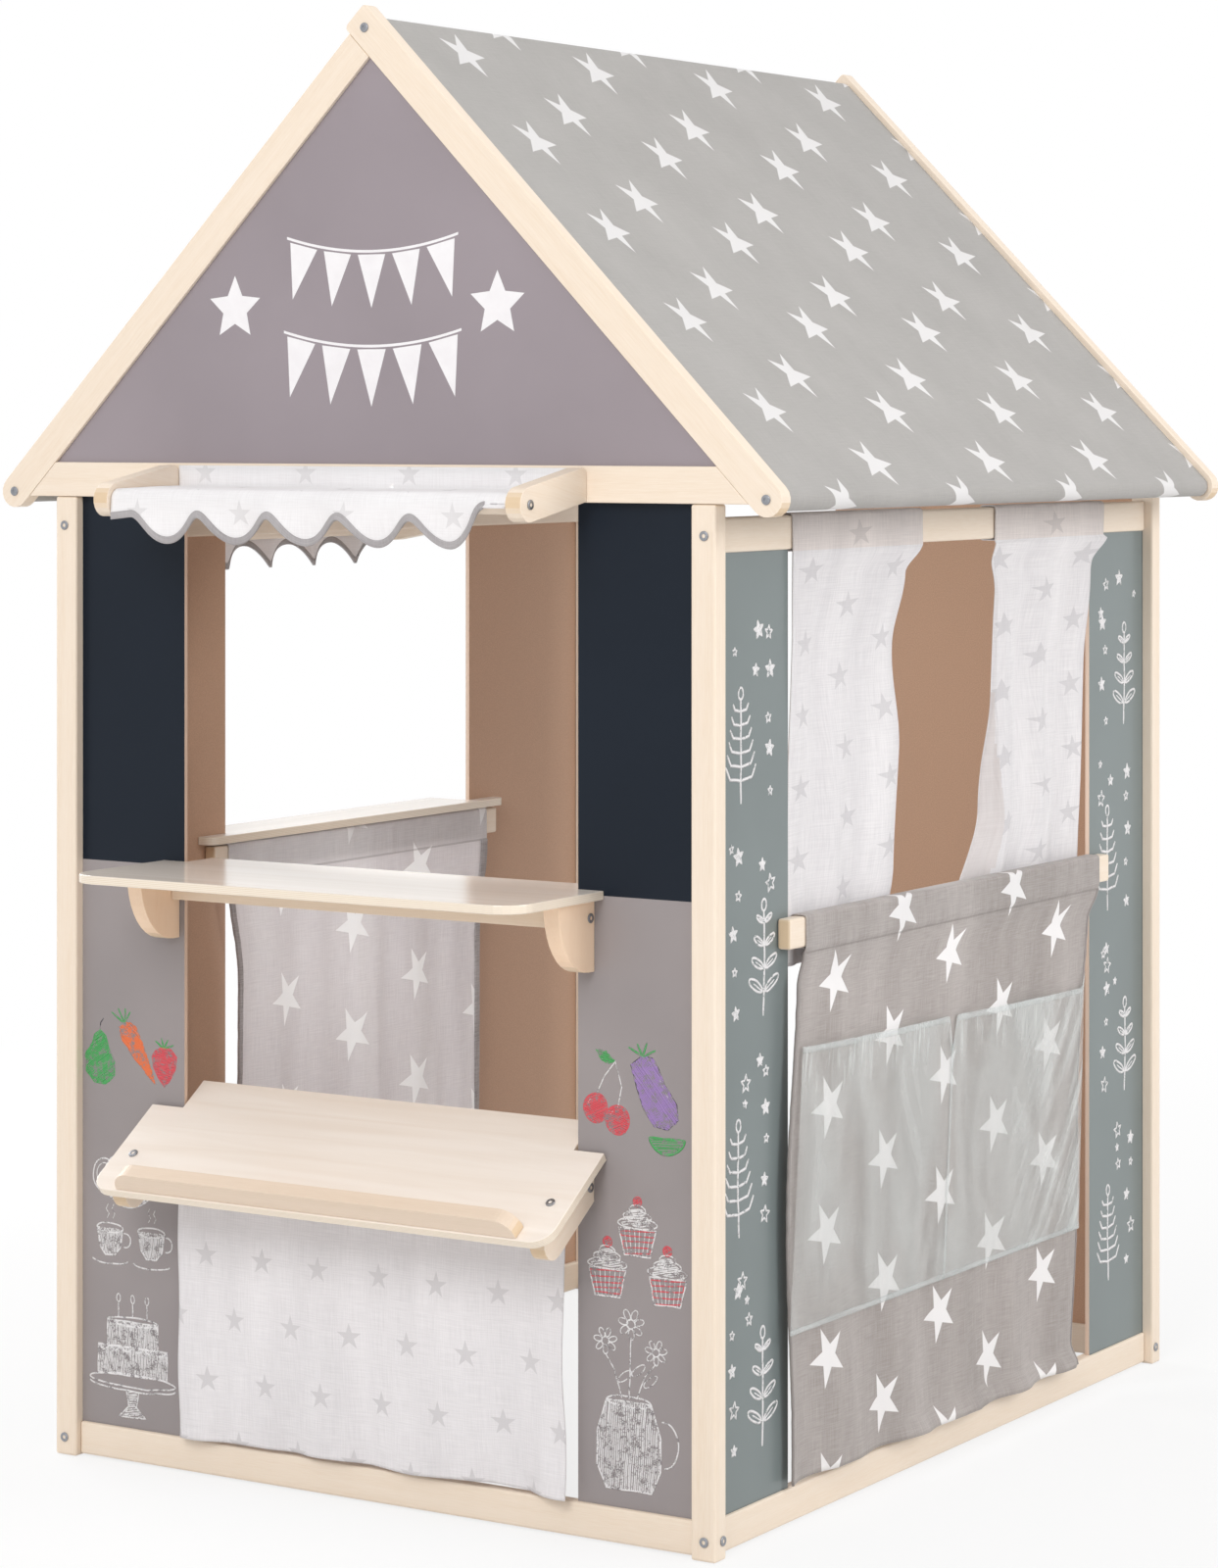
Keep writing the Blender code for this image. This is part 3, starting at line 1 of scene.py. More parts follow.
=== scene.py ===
"""Play shop stand, dressed: its cloths, films, chalk drawings, bolts and finishes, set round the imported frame.

Metres, +Z up. Sizes are given from the middle of the front post faces on the floor: x to the right,
y into the house, z up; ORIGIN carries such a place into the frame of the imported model.
"""

import logging
from collections.abc import Callable, Iterable
from dataclasses import dataclass
from enum import Enum
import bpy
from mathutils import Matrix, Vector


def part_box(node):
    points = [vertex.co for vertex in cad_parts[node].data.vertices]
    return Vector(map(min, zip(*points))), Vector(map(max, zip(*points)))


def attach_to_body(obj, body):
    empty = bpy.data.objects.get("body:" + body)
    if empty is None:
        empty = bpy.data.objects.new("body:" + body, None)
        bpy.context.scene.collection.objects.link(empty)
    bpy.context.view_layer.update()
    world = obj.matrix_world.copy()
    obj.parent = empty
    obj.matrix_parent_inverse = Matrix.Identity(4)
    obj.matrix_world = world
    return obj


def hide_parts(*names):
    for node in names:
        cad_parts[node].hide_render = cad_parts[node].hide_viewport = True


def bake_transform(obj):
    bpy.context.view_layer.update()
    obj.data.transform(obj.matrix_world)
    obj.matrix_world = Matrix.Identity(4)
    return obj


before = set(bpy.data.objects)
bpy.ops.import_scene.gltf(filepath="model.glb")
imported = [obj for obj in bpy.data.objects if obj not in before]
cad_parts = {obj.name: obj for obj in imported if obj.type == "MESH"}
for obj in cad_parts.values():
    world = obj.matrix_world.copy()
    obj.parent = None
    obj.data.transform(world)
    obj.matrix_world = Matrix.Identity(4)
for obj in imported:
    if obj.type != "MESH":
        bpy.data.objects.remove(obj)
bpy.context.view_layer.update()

from fnmatch import fnmatchcase
from math import atan2, ceil, cos, exp, hypot, pi, radians, sin
from random import Random

import bpy
from mathutils import Matrix, Vector, noise

LOG = logging.getLogger("play_shop_stand")
Point = tuple[float, float]
Place = tuple[float, float, float]
Stroke = list[Point]

# The bottom rail of the front is centred on the front and lies 7 mm behind the post faces.
RAIL_LOW, RAIL_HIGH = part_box("front_bottom_rail")
ORIGIN = Vector(((RAIL_LOW.x + RAIL_HIGH.x) / 2, RAIL_LOW.y - 0.007, 0.0))

BODY_DEPTH = 1.043
HALF_WIDTH = 0.415
MIDDLE_Y = BODY_DEPTH / 2
LEFT_MIDDLE_Y = MIDDLE_Y + 0.005
LEFT_WALL = -0.405           # x of the left wall's outer face
EAVE = (0.4727, 1.0427)      # x and z of the right eave dowel's axis; the left one mirrors it
RIDGE = (-0.0052, 1.5256)    # the same for the ridge dowel
AWNING_OUT = 0.1041          # how far an awning's dowel stands off its wall
CLOTH = 0.0012               # thickness of every cotton
PRINT = 0.00012              # thickness of paint and chalk on a board


def place(x: float, y: float, z: float) -> Vector:
    """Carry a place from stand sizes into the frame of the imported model."""
    return Vector((x, y, z)) + ORIGIN


def linear(colour: str) -> tuple[float, float, float, float]:
    """Turn an sRGB hex colour into linear values.

    Args:
        colour: Six hex digits after a hash sign.

    Returns:
        Linear red, green, blue and an alpha of one.
    """
    parts = [int(colour[k:k + 2], 16) / 255 for k in (1, 3, 5)]
    return (*[p / 12.92 if p <= 0.04045 else ((p + 0.055) / 1.055) ** 2.4 for p in parts], 1.0)


def smooth(value: float) -> float:
    """Ease a value from 0 to 1, held at both ends."""
    held = min(1.0, max(0.0, value))
    return held * held * (3 - 2 * held)


def ripple(x: float, y: float, seed: float) -> float:
    """Read soft, repeatable unevenness between about -1 and 1.

    Args:
        x: Place across, in wavelengths.
        y: Place along, in wavelengths.
        seed: Which unevenness.

    Returns:
        The height there.
    """
    return 1.6 * noise.noise(Vector((x, y, seed)))


def arc(centre: Point, radius: float, start: float, stop: float, steps: int) -> list[Point]:
    """Place points along an arc, both ends included.

    Args:
        centre: Centre of the arc.
        radius: Its radius.
        start: First angle.
        stop: Last angle.
        steps: Number of steps.

    Returns:
        The points.
    """
    return [(centre[0] + radius * cos(start + (stop - start) * k / steps),
             centre[1] + radius * sin(start + (stop - start) * k / steps)) for k in range(steps + 1)]


def softened(corners: list[Point], radius: float) -> list[Point]:
    """Round the inner corners of an open line.

    Args:
        corners: The line's corners.
        radius: How far from a corner its rounding starts.

    Returns:
        The line with five points for each corner.
    """
    points = [corners[0]]
    for before, corner, after in zip(corners, corners[1:], corners[2:]):
        first = Vector(before) - Vector(corner)
        second = Vector(after) - Vector(corner)
        reach = min(radius, first.length / 2.2, second.length / 2.2)
        start = Vector(corner) + first.normalized() * reach
        stop = Vector(corner) + second.normalized() * reach
        for k in range(5):
            part = k / 4
            point = start * (1 - part) ** 2 + Vector(corner) * 2 * part * (1 - part) + stop * part ** 2
            points.append(tuple(point))
    return points + [corners[-1]]


def lerp(first: Point, second: Point, share: float) -> Point:
    """Give a point between two others."""
    return (first[0] + (second[0] - first[0]) * share, first[1] + (second[1] - first[1]) * share)


def divided(points: list[Point], step: float) -> list[Point]:
    """Divide the long stretches of a line.

    Args:
        points: The line.
        step: Longest stretch that stays whole.

    Returns:
        The line with more points on the same places.
    """
    result = [points[0]]
    for first, second in zip(points, points[1:]):
        count = max(1, ceil(hypot(second[0] - first[0], second[1] - first[1]) / step))
        result += [lerp(first, second, k / count) for k in range(1, count + 1)]
    return result


def reached(points: list[Point]) -> list[float]:
    """Measure how far each point of a line is from its start, along the line.

    Args:
        points: The line's points.

    Returns:
        The lengths, from zero up.
    """
    total = [0.0]
    for first, second in zip(points, points[1:]):
        total.append(total[-1] + hypot(second[0] - first[0], second[1] - first[1]))
    return total


def eased(pairs: tuple[Point, ...], value: float) -> float:
    """Read a given outline with eased steps.

    Args:
        pairs: Pairs of place and size, in rising order of place.
        value: The place to read.

    Returns:
        The size there.
    """
    if value <= pairs[0][0]:
        return pairs[0][1]
    for (low, first), (high, second) in zip(pairs, pairs[1:]):
        if value <= high:
            return first + (second - first) * (0.5 - 0.5 * cos(pi * (value - low) / (high - low)))
    return pairs[-1][1]


class Graph:
    """The node tree of one material or world."""

    def __init__(self, owner: bpy.types.ID) -> None:
        """Start on an owner's own tree.

        Args:
            owner: The material or world.
        """
        owner.use_nodes = True
        self.owner = owner
        self.tree = owner.node_tree

    @classmethod
    def of(cls, name: str) -> "Graph":
        """Start a new material."""
        return cls(bpy.data.materials.new(name))

    def add(self, kind: str, feeds: dict | None = None, **settings: object) -> bpy.types.Node:
        """Add a shader node with its settings and links.

        Args:
            kind: Blender's name of the node, without ShaderNode before it.
            feeds: A value, a hex colour, a socket or a node (its first output) for an input's name or number.
            **settings: The node's own settings.

        Returns:
            The node.
        """
        node = self.tree.nodes.new("ShaderNode" + kind)
        for name, value in settings.items():
            setattr(node, name, value)
        self.feed(node, feeds or {})
        return node

    def feed(self, node: bpy.types.Node, feeds: dict) -> None:
        """Set or link a node's inputs, as add() does.

        Args:
            node: The node.
            feeds: The inputs' values, as in add().
        """
        for key, value in feeds.items():
            socket = node.inputs[key] if isinstance(key, int) else next(
                s for s in node.inputs if s.name == key and s.enabled)
            if isinstance(value, bpy.types.Node):
                value = next(s for s in value.outputs if s.enabled)
            if isinstance(value, bpy.types.NodeSocket):
                self.tree.links.new(value, socket)
            else:
                socket.default_value = linear(value) if isinstance(value, str) else value

    def finish(self, feeds: dict) -> bpy.types.Material:
        """Feed the Principled shader and give the finished material."""
        self.feed(self.tree.nodes["Principled BSDF"], feeds)
        return self.owner

    def math(self, operation: str, *values: object) -> bpy.types.Node:
        """Add an operation on numbers, in their order."""
        return self.add("Math", dict(enumerate(values)), operation=operation)

    def vector(self, operation: str, *values: object) -> bpy.types.Node:
        """Add an operation on vectors, in their order."""
        return self.add("VectorMath", dict(enumerate(values)), operation=operation)

    def remap(self, value: object, low: float = 0.0, high: float = 1.0, to_low: float = 0.0,
              to_high: float = 1.0) -> bpy.types.Node:
        """Carry a value's range from low to high onto another one, held at both ends."""
        return self.add("MapRange", {"Value": value, "From Min": low, "From Max": high, "To Min": to_low,
                                     "To Max": to_high})

    def mix(self, share: object, first: object, second: object, blend: str = "MIX") -> bpy.types.Node:
        """Mix two colours by the second one's share."""
        return self.add("Mix", {"Factor": share, "A": first, "B": second}, data_type="RGBA", blend_type=blend)

    def noise(self, spot: object, scale: float = 1.0, detail: float = 2.0, rough: float = 0.5,
              bend: float = 0.0) -> bpy.types.Node:
        """Add soft noise."""
        return self.add("TexNoise", {"Vector": spot, "Scale": scale, "Detail": detail, "Roughness": rough,
                                     "Distortion": bend})

    def scaled(self, spot: object, size: tuple, turn: tuple = (0.0, 0.0, 0.0)) -> bpy.types.Node:
        """Measure a place along turned axes, in units of the given sizes."""
        return self.add("Mapping", {"Vector": spot, "Rotation": turn, "Scale": size}, vector_type="TEXTURE")

    def part(self, spot: object, axis: str) -> bpy.types.NodeSocket:
        """Give one part of a vector."""
        return self.add("SeparateXYZ", {"Vector": spot}).outputs[axis]

    def own(self, output: str = "Object") -> bpy.types.NodeSocket:
        """Give the surface's place in its object, or its normal."""
        return self.add("TexCoord").outputs[output]

    def facing(self, turn: tuple, axis: str) -> bpy.types.Node:
        """Give how squarely the surface faces along one of the turned axes, either way."""
        return self.math("ABSOLUTE", self.part(self.scaled(self.own("Normal"), (1.0, 1.0, 1.0), turn), axis))

    def bump(self, height: object, strength: float, distance: float) -> bpy.types.Node:
        """Add relief."""
        return self.add("Bump", {"Height": height, "Strength": strength, "Distance": distance})

    def seen(self) -> bpy.types.Node:
        """Be 1 on rays that the camera sees straight, mirrored or through something clear.

        Returns:
            The node.
        """
        rays = self.add("LightPath").outputs
        direct = self.math("MAXIMUM", rays["Is Camera Ray"], rays["Is Glossy Ray"])
        return self.math("MAXIMUM", direct, rays["Is Transmission Ray"])


class Grain(Enum):
    """Which way a piece's grain runs: the turn that lays the X axis along it."""

    ACROSS = (0.0, 0.0, 0.0)
    DEEP = (0.0, 0.0, pi / 2)
    UPRIGHT = (0.0, -pi / 2, 0.0)
    RAFTER_LEFT = (0.0, -radians(45.3), 0.0)
    RAFTER_RIGHT = (0.0, radians(45.3), 0.0)
    FRONT_ARM = (0.0, radians(10.3), pi / 2)
    TRAY_BRACKET = (0.0, -radians(34.0), pi / 2)
    TRAY = (radians(34.0), 0.0, 0.0)


@dataclass(frozen=True)
class LacqueredBeech:
    """Planed beech under clear satin lacquer: pale cream with faint long grain, darker on end grain."""

    grain: Grain
    name: str = "beech"
    pale: str = "#f1e4d5"
    deep: str = "#e6d3bd"
    end: str = "#dcc3a3"
    figure: tuple[float, float, float] = (0.42, 0.011, 0.011)    # length and width of a growth band
    pores: tuple[float, float, float] = (0.020, 0.0009, 0.0009)  # pore streaks, twice the real width to show

    def make(self) -> bpy.types.Material:
        """Make the material; end grain is where the surface faces along the grain.

        Returns:
            The material.
        """
        graph = Graph.of(self.name + "_" + self.grain.name.lower())
        turn = self.grain.value
        clouds = graph.noise(graph.scaled(graph.own(), self.figure, turn), detail=3.0, rough=0.6, bend=0.4)
        fine = graph.noise(graph.scaled(graph.own(), self.pores, turn))
        share = graph.remap(graph.math("MULTIPLY_ADD", clouds, fine, 0.5), 0.42, 1.05)
        ends = graph.remap(graph.facing(turn, "X"), 0.80, 0.95)
        whole = graph.mix(ends, graph.mix(share, self.pale, self.deep), self.end)
        return graph.finish({"Base Color": whole, "Normal": graph.bump(fine, 0.25, 0.0002), "Roughness": 0.42,
                             "IOR": 1.5, "Specular IOR Level": 0.3})


@dataclass(frozen=True)
class BirchPly:
    """Birch plywood under clear lacquer: pale veneer with soft figure, thin darker glue lines on its edges."""

    grain: Grain
    pale: str = "#f6ede4"
    deep: str = "#eee2d6"
    edge: str = "#ebdfcf"
    glue: str = "#d6c2a6"
    ply: float = 0.0018          # five plies in 9 mm

    def make(self) -> bpy.types.Material:
        """Make the material; the edges are where the surface doesn't face along the board's own normal.

        Returns:
            The material.
        """
        graph = Graph.of("birch_ply_" + self.grain.name.lower())
        turn = self.grain.value
        clouds = graph.noise(graph.scaled(graph.own(), (0.30, 0.018, 0.018), turn), detail=4.0, bend=0.8)
        veneer = graph.mix(graph.remap(clouds, 0.30, 0.72), self.pale, self.deep)
        level = graph.part(graph.scaled(graph.own(), (1.0, 1.0, self.ply), turn), "Z")
        glue = graph.remap(graph.math("PINGPONG", level, 0.5), 0.16, 0.02)
        flat = graph.remap(graph.facing(turn, "Z"), 0.75, 0.95)
        whole = graph.mix(flat, graph.mix(glue, self.edge, self.glue), veneer)
        return graph.finish({"Base Color": whole, "Roughness": 0.17, "IOR": 1.5})


@dataclass(frozen=True)
class LacqueredBoard:
    """Thin fibreboard, lacquered on its outer face only: smooth colour outside, bare brown inside, pale sawn edges."""

    name: str
    outward: tuple[float, float, float]
    face: str
    face_high: str = ""          # colour of the chalk area above its lower edge
    chalk_from: float = 0.0
    bare: str = "#c49f85"
    edge: str = "#e3c8b4"
    gloss: float = 0.30
    specular: float = 0.5

    def make(self) -> bpy.types.Material:
        """Make the material; the face, the bare side and the edges are told apart by where they face.

        Returns:
            The material.
        """
        graph = Graph.of(self.name)
        spot = graph.own()
        turned = graph.vector("DOT_PRODUCT", graph.own("Normal"), self.outward).outputs["Value"]
        outside = graph.math("GREATER_THAN", turned, 0.5)
        clouds = graph.noise(spot, 5.0, 3.0)
        lacquer: object = self.face
        if self.face_high:
            above = graph.math("GREATER_THAN", graph.part(spot, "Z"), self.chalk_from)
            lacquer = graph.mix(above, self.face, self.face_high)
        lit = graph.mix(1.0, lacquer, graph.remap(clouds, 0.3, 0.7, 0.94, 1.05), "MULTIPLY")
        wood = graph.mix(1.0, self.bare, graph.remap(graph.noise(spot, 700.0), 0.3, 0.7, 0.90, 1.06), "MULTIPLY")
        sides = graph.mix(graph.math("LESS_THAN", turned, -0.5), self.edge, wood)
        return graph.finish({
            "Base Color": graph.mix(outside, sides, lit), "Roughness": graph.remap(outside, 0.0, 1.0, 0.62, self.gloss),
            "Normal": graph.bump(clouds, 0.15, 0.002), "IOR": 1.5, "Specular IOR Level": self.specular})


@dataclass(frozen=True)
class Stars:
    """A printed pattern of plain five-pointed stars on two interlaced lattices, in metres on the cloth."""

    cell: Point
    first: Point
    second: Point
    radius: float
    turn: float                  # angle of one tip
    waist: float = 0.38          # inner radius over outer radius
    blur: float = 0.0003

    def mask(self, graph: Graph, flat: bpy.types.Node) -> bpy.types.Node:
        """Add the nodes of the pattern.

        Args:
            graph: The material's graph.
            flat: The place on the cloth, in metres.

        Returns:
            A node that is 1 in a star and 0 outside.
        """
        masks = []
        inner = self.radius * self.waist
        normal = Vector((inner * sin(pi / 5), self.radius - inner * cos(pi / 5)))
        reach = normal.x * self.radius / normal.length
        normal.normalize()
        half = (self.cell[0] / 2, self.cell[1] / 2, 0.0)
        for centre in (self.first, self.second):
            moved = graph.vector("SUBTRACT", flat, (*centre, 0.0))
            cell = graph.vector("WRAP", moved, half, tuple(-h for h in half))
            far = graph.vector("LENGTH", cell).outputs["Value"]
            angle = graph.math("ARCTAN2", graph.part(cell, "Y"), graph.part(cell, "X"))
            folded = graph.math("PINGPONG", graph.math("SUBTRACT", angle, self.turn - 4 * pi), pi / 5)
            both = graph.add("CombineXYZ", {"X": graph.math("COSINE", folded), "Y": graph.math("SINE", folded)})
            across = graph.vector("DOT_PRODUCT", both, (normal.x, normal.y, 0.0)).outputs["Value"]
            masks.append(graph.remap(graph.math("MULTIPLY", across, far), reach + self.blur, reach - self.blur))
        return graph.math("MAXIMUM", *masks)


@dataclass(frozen=True)
class Cotton:
    """Plain-woven cotton: matt, with a fine weave, uneven threads and a soft sheen at grazing angles."""

    name: str
    ground: str
    shade: str
    print: str = ""
    stars: Stars | None = None
    thread: float = 0.0011       # drawn twice as coarse as the real 0.5 mm so that it shows
    seams: tuple[float, ...] = ()    # lines of stitching, at these places along the cloth
    weight: float = 0.85
    through: float = 0.25        # share of the light that goes into the threads and may leave on the other side
    over: str = ""               # painted light: colour that light off the wood behind lends the thin cloth, from this height upwards
    over_from: float = 0.0
    tone_and_fold_bands: tuple[float, float] = (0.11, 0.11)    # width and length of a soft change of tone; stretched down a hanging cloth, these bands are painted light and shade of its folds
    crease: float = 0.0          # how dark the painted shade in the crease along the first seam is
    crease_shade_grey: str = "#6f6966"
    slub: Point = (0.0012, 0.030)    # width and length of a thicker stretch of thread
    seam_half: float = 0.0012
    stitch: Point = (0.0018, 0.0005)    # half a stitch's pitch and half its gap

    def make(self) -> bpy.types.Material:
        """Make the material; it reads the cloth's own map, which is in metres.

        Returns:
            The material.
        """
        graph = Graph.of(self.name)
        flat = graph.add("UVMap", uv_map="UVMap")
        warp, weft = (graph.noise(graph.scaled(flat, (*size, 1.0))) for size in (self.slub, self.slub[::-1]))
        threads = graph.math("ADD", warp, weft)
        # uneven tone; where the bands are stretched down the cloth they also paint the light and shade of its folds
        drift = graph.noise(graph.scaled(flat, (*self.tone_and_fold_bands, 1.0)))
        share = graph.remap(graph.math("MULTIPLY_ADD", drift, 1.30, threads), 1.25, 2.05)
        base = graph.mix(share, self.ground, self.shade)
        if self.stars:
            base = graph.mix(graph.math("MULTIPLY", self.stars.mask(graph, flat), self.weight), base, self.print)
        # painted light: the warm tint that light off the wood behind gives the cloth above the rail
        if self.over:
            above = graph.math("GREATER_THAN", graph.part(flat, "Y"), self.over_from)
            base = graph.mix(above, base, self.over, "MULTIPLY")
        cells = graph.add("TexChecker", {"Vector": graph.scaled(flat, (self.thread, self.thread, 1.0)), "Scale": 1.0})
        relief = graph.bump(graph.math("MULTIPLY_ADD", cells.outputs["Fac"], 0.35, threads), 0.35, 0.0003)
        if self.seams:
            gaps = [graph.math("COMPARE", graph.part(flat, "Y"), seam, self.seam_half) for seam in self.seams]
            near = gaps[0]
            for gap in gaps[1:]:
                near = graph.math("MAXIMUM", near, gap)
            # painted shade: the crease along the first seam is darkened towards a grey
            if self.crease:
                base = graph.mix(graph.math("MULTIPLY", gaps[0], self.crease), base, self.crease_shade_grey)
            stitched = graph.math("PINGPONG", graph.part(flat, "X"), self.stitch[0])
            line = graph.math("MULTIPLY", near, graph.math("GREATER_THAN", stitched, self.stitch[1]))
            relief = graph.add("Bump", {"Height": line, "Strength": 0.6, "Distance": 0.0005, "Normal": relief},
                               invert=True)
        return graph.finish({"Base Color": base, "Normal": relief, "Roughness": 0.88, "IOR": 1.46,
                             "Sheen Weight": 0.10, "Sheen Roughness": 0.5, "Subsurface Weight": self.through,
                             "Subsurface Radius": (1.0, 1.0, 1.0), "Subsurface Scale": 0.004})


@dataclass(frozen=True)
class ClearFilm:
    """Soft clear PVC film: glossy, faintly milky and blue-green, cloudier where it is creased, with painted highlights
    in its gathers and creases.
    """

    name: str = "pvc_film"
    tint: str = "#e4e7e5"
    alpha: tuple[float, float] = (0.12, 0.38)
    gathers: float = 0.30        # how milky the gathers under the upper hem and the creases at the back end are: partly the film's own clouding, partly painted highlights

    def make(self) -> bpy.types.Material:
        """Make the material.

        Returns:
            The material.
        """
        graph = Graph.of(self.name)
        flat = graph.add("UVMap", uv_map="UVMap")
        creases = graph.noise(graph.scaled(flat, (0.080, 0.19, 1.0), (0.0, 0.0, 0.20)), detail=3.0, bend=0.6)
        cloud = graph.remap(creases, 0.40, 0.75, *self.alpha)
        ridges = graph.remap(graph.noise(graph.scaled(flat, (0.0045, 0.060, 1.0)), detail=1.0), 0.52, 0.72)
        high = graph.remap(graph.part(flat, "Y"), -0.055, -0.008)
        folds = graph.remap(graph.noise(graph.scaled(flat, (0.017, 0.170, 1.0), (0.0, 0.0, -0.62))), 0.42, 0.68)
        end = graph.remap(graph.part(flat, "X"), 0.44, 0.66)
        # painted highlights: the gathers and the back end's creases turn milkier, partly the film's own clouding
        both = graph.math("MAXIMUM", graph.math("MULTIPLY", ridges, high), graph.math("MULTIPLY", folds, end))
        return graph.finish({"Base Color": self.tint, "Alpha": graph.math("MULTIPLY_ADD", both, self.gathers, cloud),
                             "Roughness": 0.22, "IOR": 1.53, "Normal": graph.bump(creases, 0.4, 0.002)})


@dataclass(frozen=True)
class Chalk:
    """Chalk or chalky print on a board: matt, broken up where it skipped over the surface."""

    name: str
    colour: str
    under: str = "#8f898b"
    cover: float = 0.78          # share of the stroke that is fully coloured

    def make(self) -> bpy.types.Material:
        """Make the material.

        Returns:
            The material.
        """
        graph = Graph.of(self.name)
        total = graph.math("ADD", graph.noise(graph.own(), 900.0, 1.0), graph.noise(graph.own(), 160.0, 1.0))
        held = graph.remap(total, 1.18 - 0.5 * self.cover, 1.38 - 0.5 * self.cover)
        return graph.finish({"Base Color": graph.mix(held, self.under, self.colour), "Roughness": 0.85})


@dataclass(frozen=True)
class WhitePaint:
    """Screen-printed white on the gable: even, satin, very slightly mottled."""

    name: str = "white_print"
    colour: str = "#f2f0f1"
    thin: str = "#e6e2e4"

    def make(self) -> bpy.types.Material:
        """Make the material.

        Returns:
            The material.
        """
        graph = Graph.of(self.name)
        tone = graph.mix(graph.noise(graph.own(), 60.0, 3.0), self.colour, self.thin)
        return graph.finish({"Base Color": tone, "Roughness": 0.4})


@dataclass(frozen=True)
class ZincedSteel:
    """Zinc-plated steel bolts: cool grey metal, softly brushed, with duller patches."""

    name: str = "zinc_plated_steel"
    bright: str = "#b9bbc0"
    dull: str = "#6d6f75"

    def make(self) -> bpy.types.Material:
        """Make the material.

        Returns:
            The material.
        """
        graph = Graph.of(self.name)
        scratches = graph.noise(graph.own(), 900.0, 3.0)
        return graph.finish({"Base Color": graph.mix(scratches, self.bright, self.dull), "Metallic": 1.0,
                             "Roughness": graph.remap(scratches, 0.0, 1.0, 0.25, 0.5)})


ROOF_STARS = Stars((0.261, 0.1315), (0.134, 0.115), (0.254, 0.037), 0.035, radians(-3.6))
APRON_STARS = Stars((0.262, 0.1285), (0.246, 0.160), (0.377, 0.2175), 0.0337, radians(42.0))
LEFT_APRON_STARS = Stars((0.262, 0.1285), (0.246, 0.138), (0.377, 0.1955), 0.0337, radians(42.0))
SMALL_STARS = Stars((0.074, 0.131), (0.015, 0.1065), (0.052, 0.172), 0.0145, radians(90.0))


def start_clean() -> None:
    """Leave edit mode and deselect everything, so that an operator acts on the next primitive only."""
    if bpy.context.object and bpy.context.object.mode != "OBJECT":
        bpy.ops.object.mode_set(mode="OBJECT")
    bpy.ops.object.select_all(action="DESELECT")


def pick(item: bpy.types.Object) -> None:
    """Make an object the only selected one and the active one.

    Args:
        item: The object.
    """
    start_clean()
    item.select_set(True)
    bpy.context.view_layer.objects.active = item


def link(item: bpy.types.Object) -> bpy.types.Object:
    """Put an object into the scene."""
    bpy.context.scene.collection.objects.link(item)
    return item


def modify(item: bpy.types.Object, kind: str, **settings: object) -> None:
    """Apply one modifier to an object.

    Args:
        item: The object.
        kind: Blender's name of the modifier.
        **settings: The modifier's settings.
    """
    modifier = item.modifiers.new(kind.lower(), kind)
    for name, value in settings.items():
        setattr(modifier, name, value)
    pick(item)
    bpy.ops.object.modifier_apply(modifier=modifier.name)


def settle(item: bpy.types.Object) -> None:
    """Move an object's place and turn into its mesh."""
    item.data.transform(item.matrix_world)
    item.matrix_world = Matrix.Identity(4)


def hand_over(item: bpy.types.Object, body: str = "house", nodes: Iterable[str] = ()) -> None:
    """Say which body carries a piece and which nodes' solids it replaces.

    Args:
        item: The piece.
        body: The body.
        nodes: The nodes.
    """
    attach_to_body(item, body)
    if nodes:
        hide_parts(*nodes)


def lay_curve(name: str, curve: bpy.types.Curve, outlines: Iterable[tuple[float, list[Point]]], turn: Matrix,
              material: bpy.types.Material, closed: bool = False) -> None:
    """Turn lines or outlines into a mesh on the house.

    Args:
        name: The piece's name.
        curve: The curve's settings.
        outlines: Width and points of each; a line that doesn't close gets thinner at its ends.
        turn: Lays the curve's plane where it belongs, in stand sizes.
        material: Its material.
        closed: Whether the lines close.
    """
    for width, points in outlines:
        spline = curve.splines.new("POLY")
        spline.points.add(len(points) - 1)
        spline.use_cyclic_u = closed
        for number, (point, (x, y)) in enumerate(zip(spline.points, points)):
            point.co = (x, y, 0.0, 1.0)
            if not closed:
                point.radius = width * (0.65 + 0.35 * min(1.0, number / 2, (len(points) - 1 - number) / 2))
    pick(link(bpy.data.objects.new(name, curve)))
    bpy.ops.object.convert(target="MESH")
    item = bpy.context.object
    item.data.transform(Matrix.Translation(ORIGIN) @ turn)
    item.data.materials.clear()
    item.data.materials.append(material)
    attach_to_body(item, "house")


Surface = Callable[[float, float], Vector]


def sew(name: str, columns: int, rows: int, surface: Surface, flat: Callable[[float, float], Point],
        materials: Iterable[bpy.types.Material], thickness: float = CLOTH, face_out: bool = True) -> bpy.types.Object:
    """Make a sheet of cloth from a grid laid on a surface and given its thickness.

    Args:
        name: The piece's name.
        columns: Faces across.
        rows: Faces along.
        surface: The middle layer, for u and v from 0 to 1, in stand sizes.
        flat: The place on the cloth laid flat, in metres.
        materials: The printed side's material, then the back's.
        thickness: Thickness of the cloth.
        face_out: Whether the grid's own normals are the printed side.

    Returns:
        The piece.
    """
    start_clean()
    bpy.ops.mesh.primitive_grid_add(x_subdivisions=columns, y_subdivisions=rows, size=1.0)
    item = bpy.context.object
    item.name = name
    mesh = item.data
    spots = [(v.co.x + 0.5, v.co.y + 0.5) for v in mesh.vertices]
    cloth_map = mesh.uv_layers["UVMap"].data
    for loop in mesh.loops:
        cloth_map[loop.index].uv = flat(*spots[loop.vertex_index])
    for vertex, (u, v) in zip(mesh.vertices, spots):
        vertex.co = surface(u, v) + ORIGIN
    if not face_out:
        mesh.flip_normals()
    for material in materials:
        mesh.materials.append(material)
    bpy.ops.object.shade_smooth()
    modify(item, "SOLIDIFY", thickness=thickness, offset=0.0, material_offset=len(mesh.materials) - 1,
           material_offset_rim=len(mesh.materials) - 1)
    return item


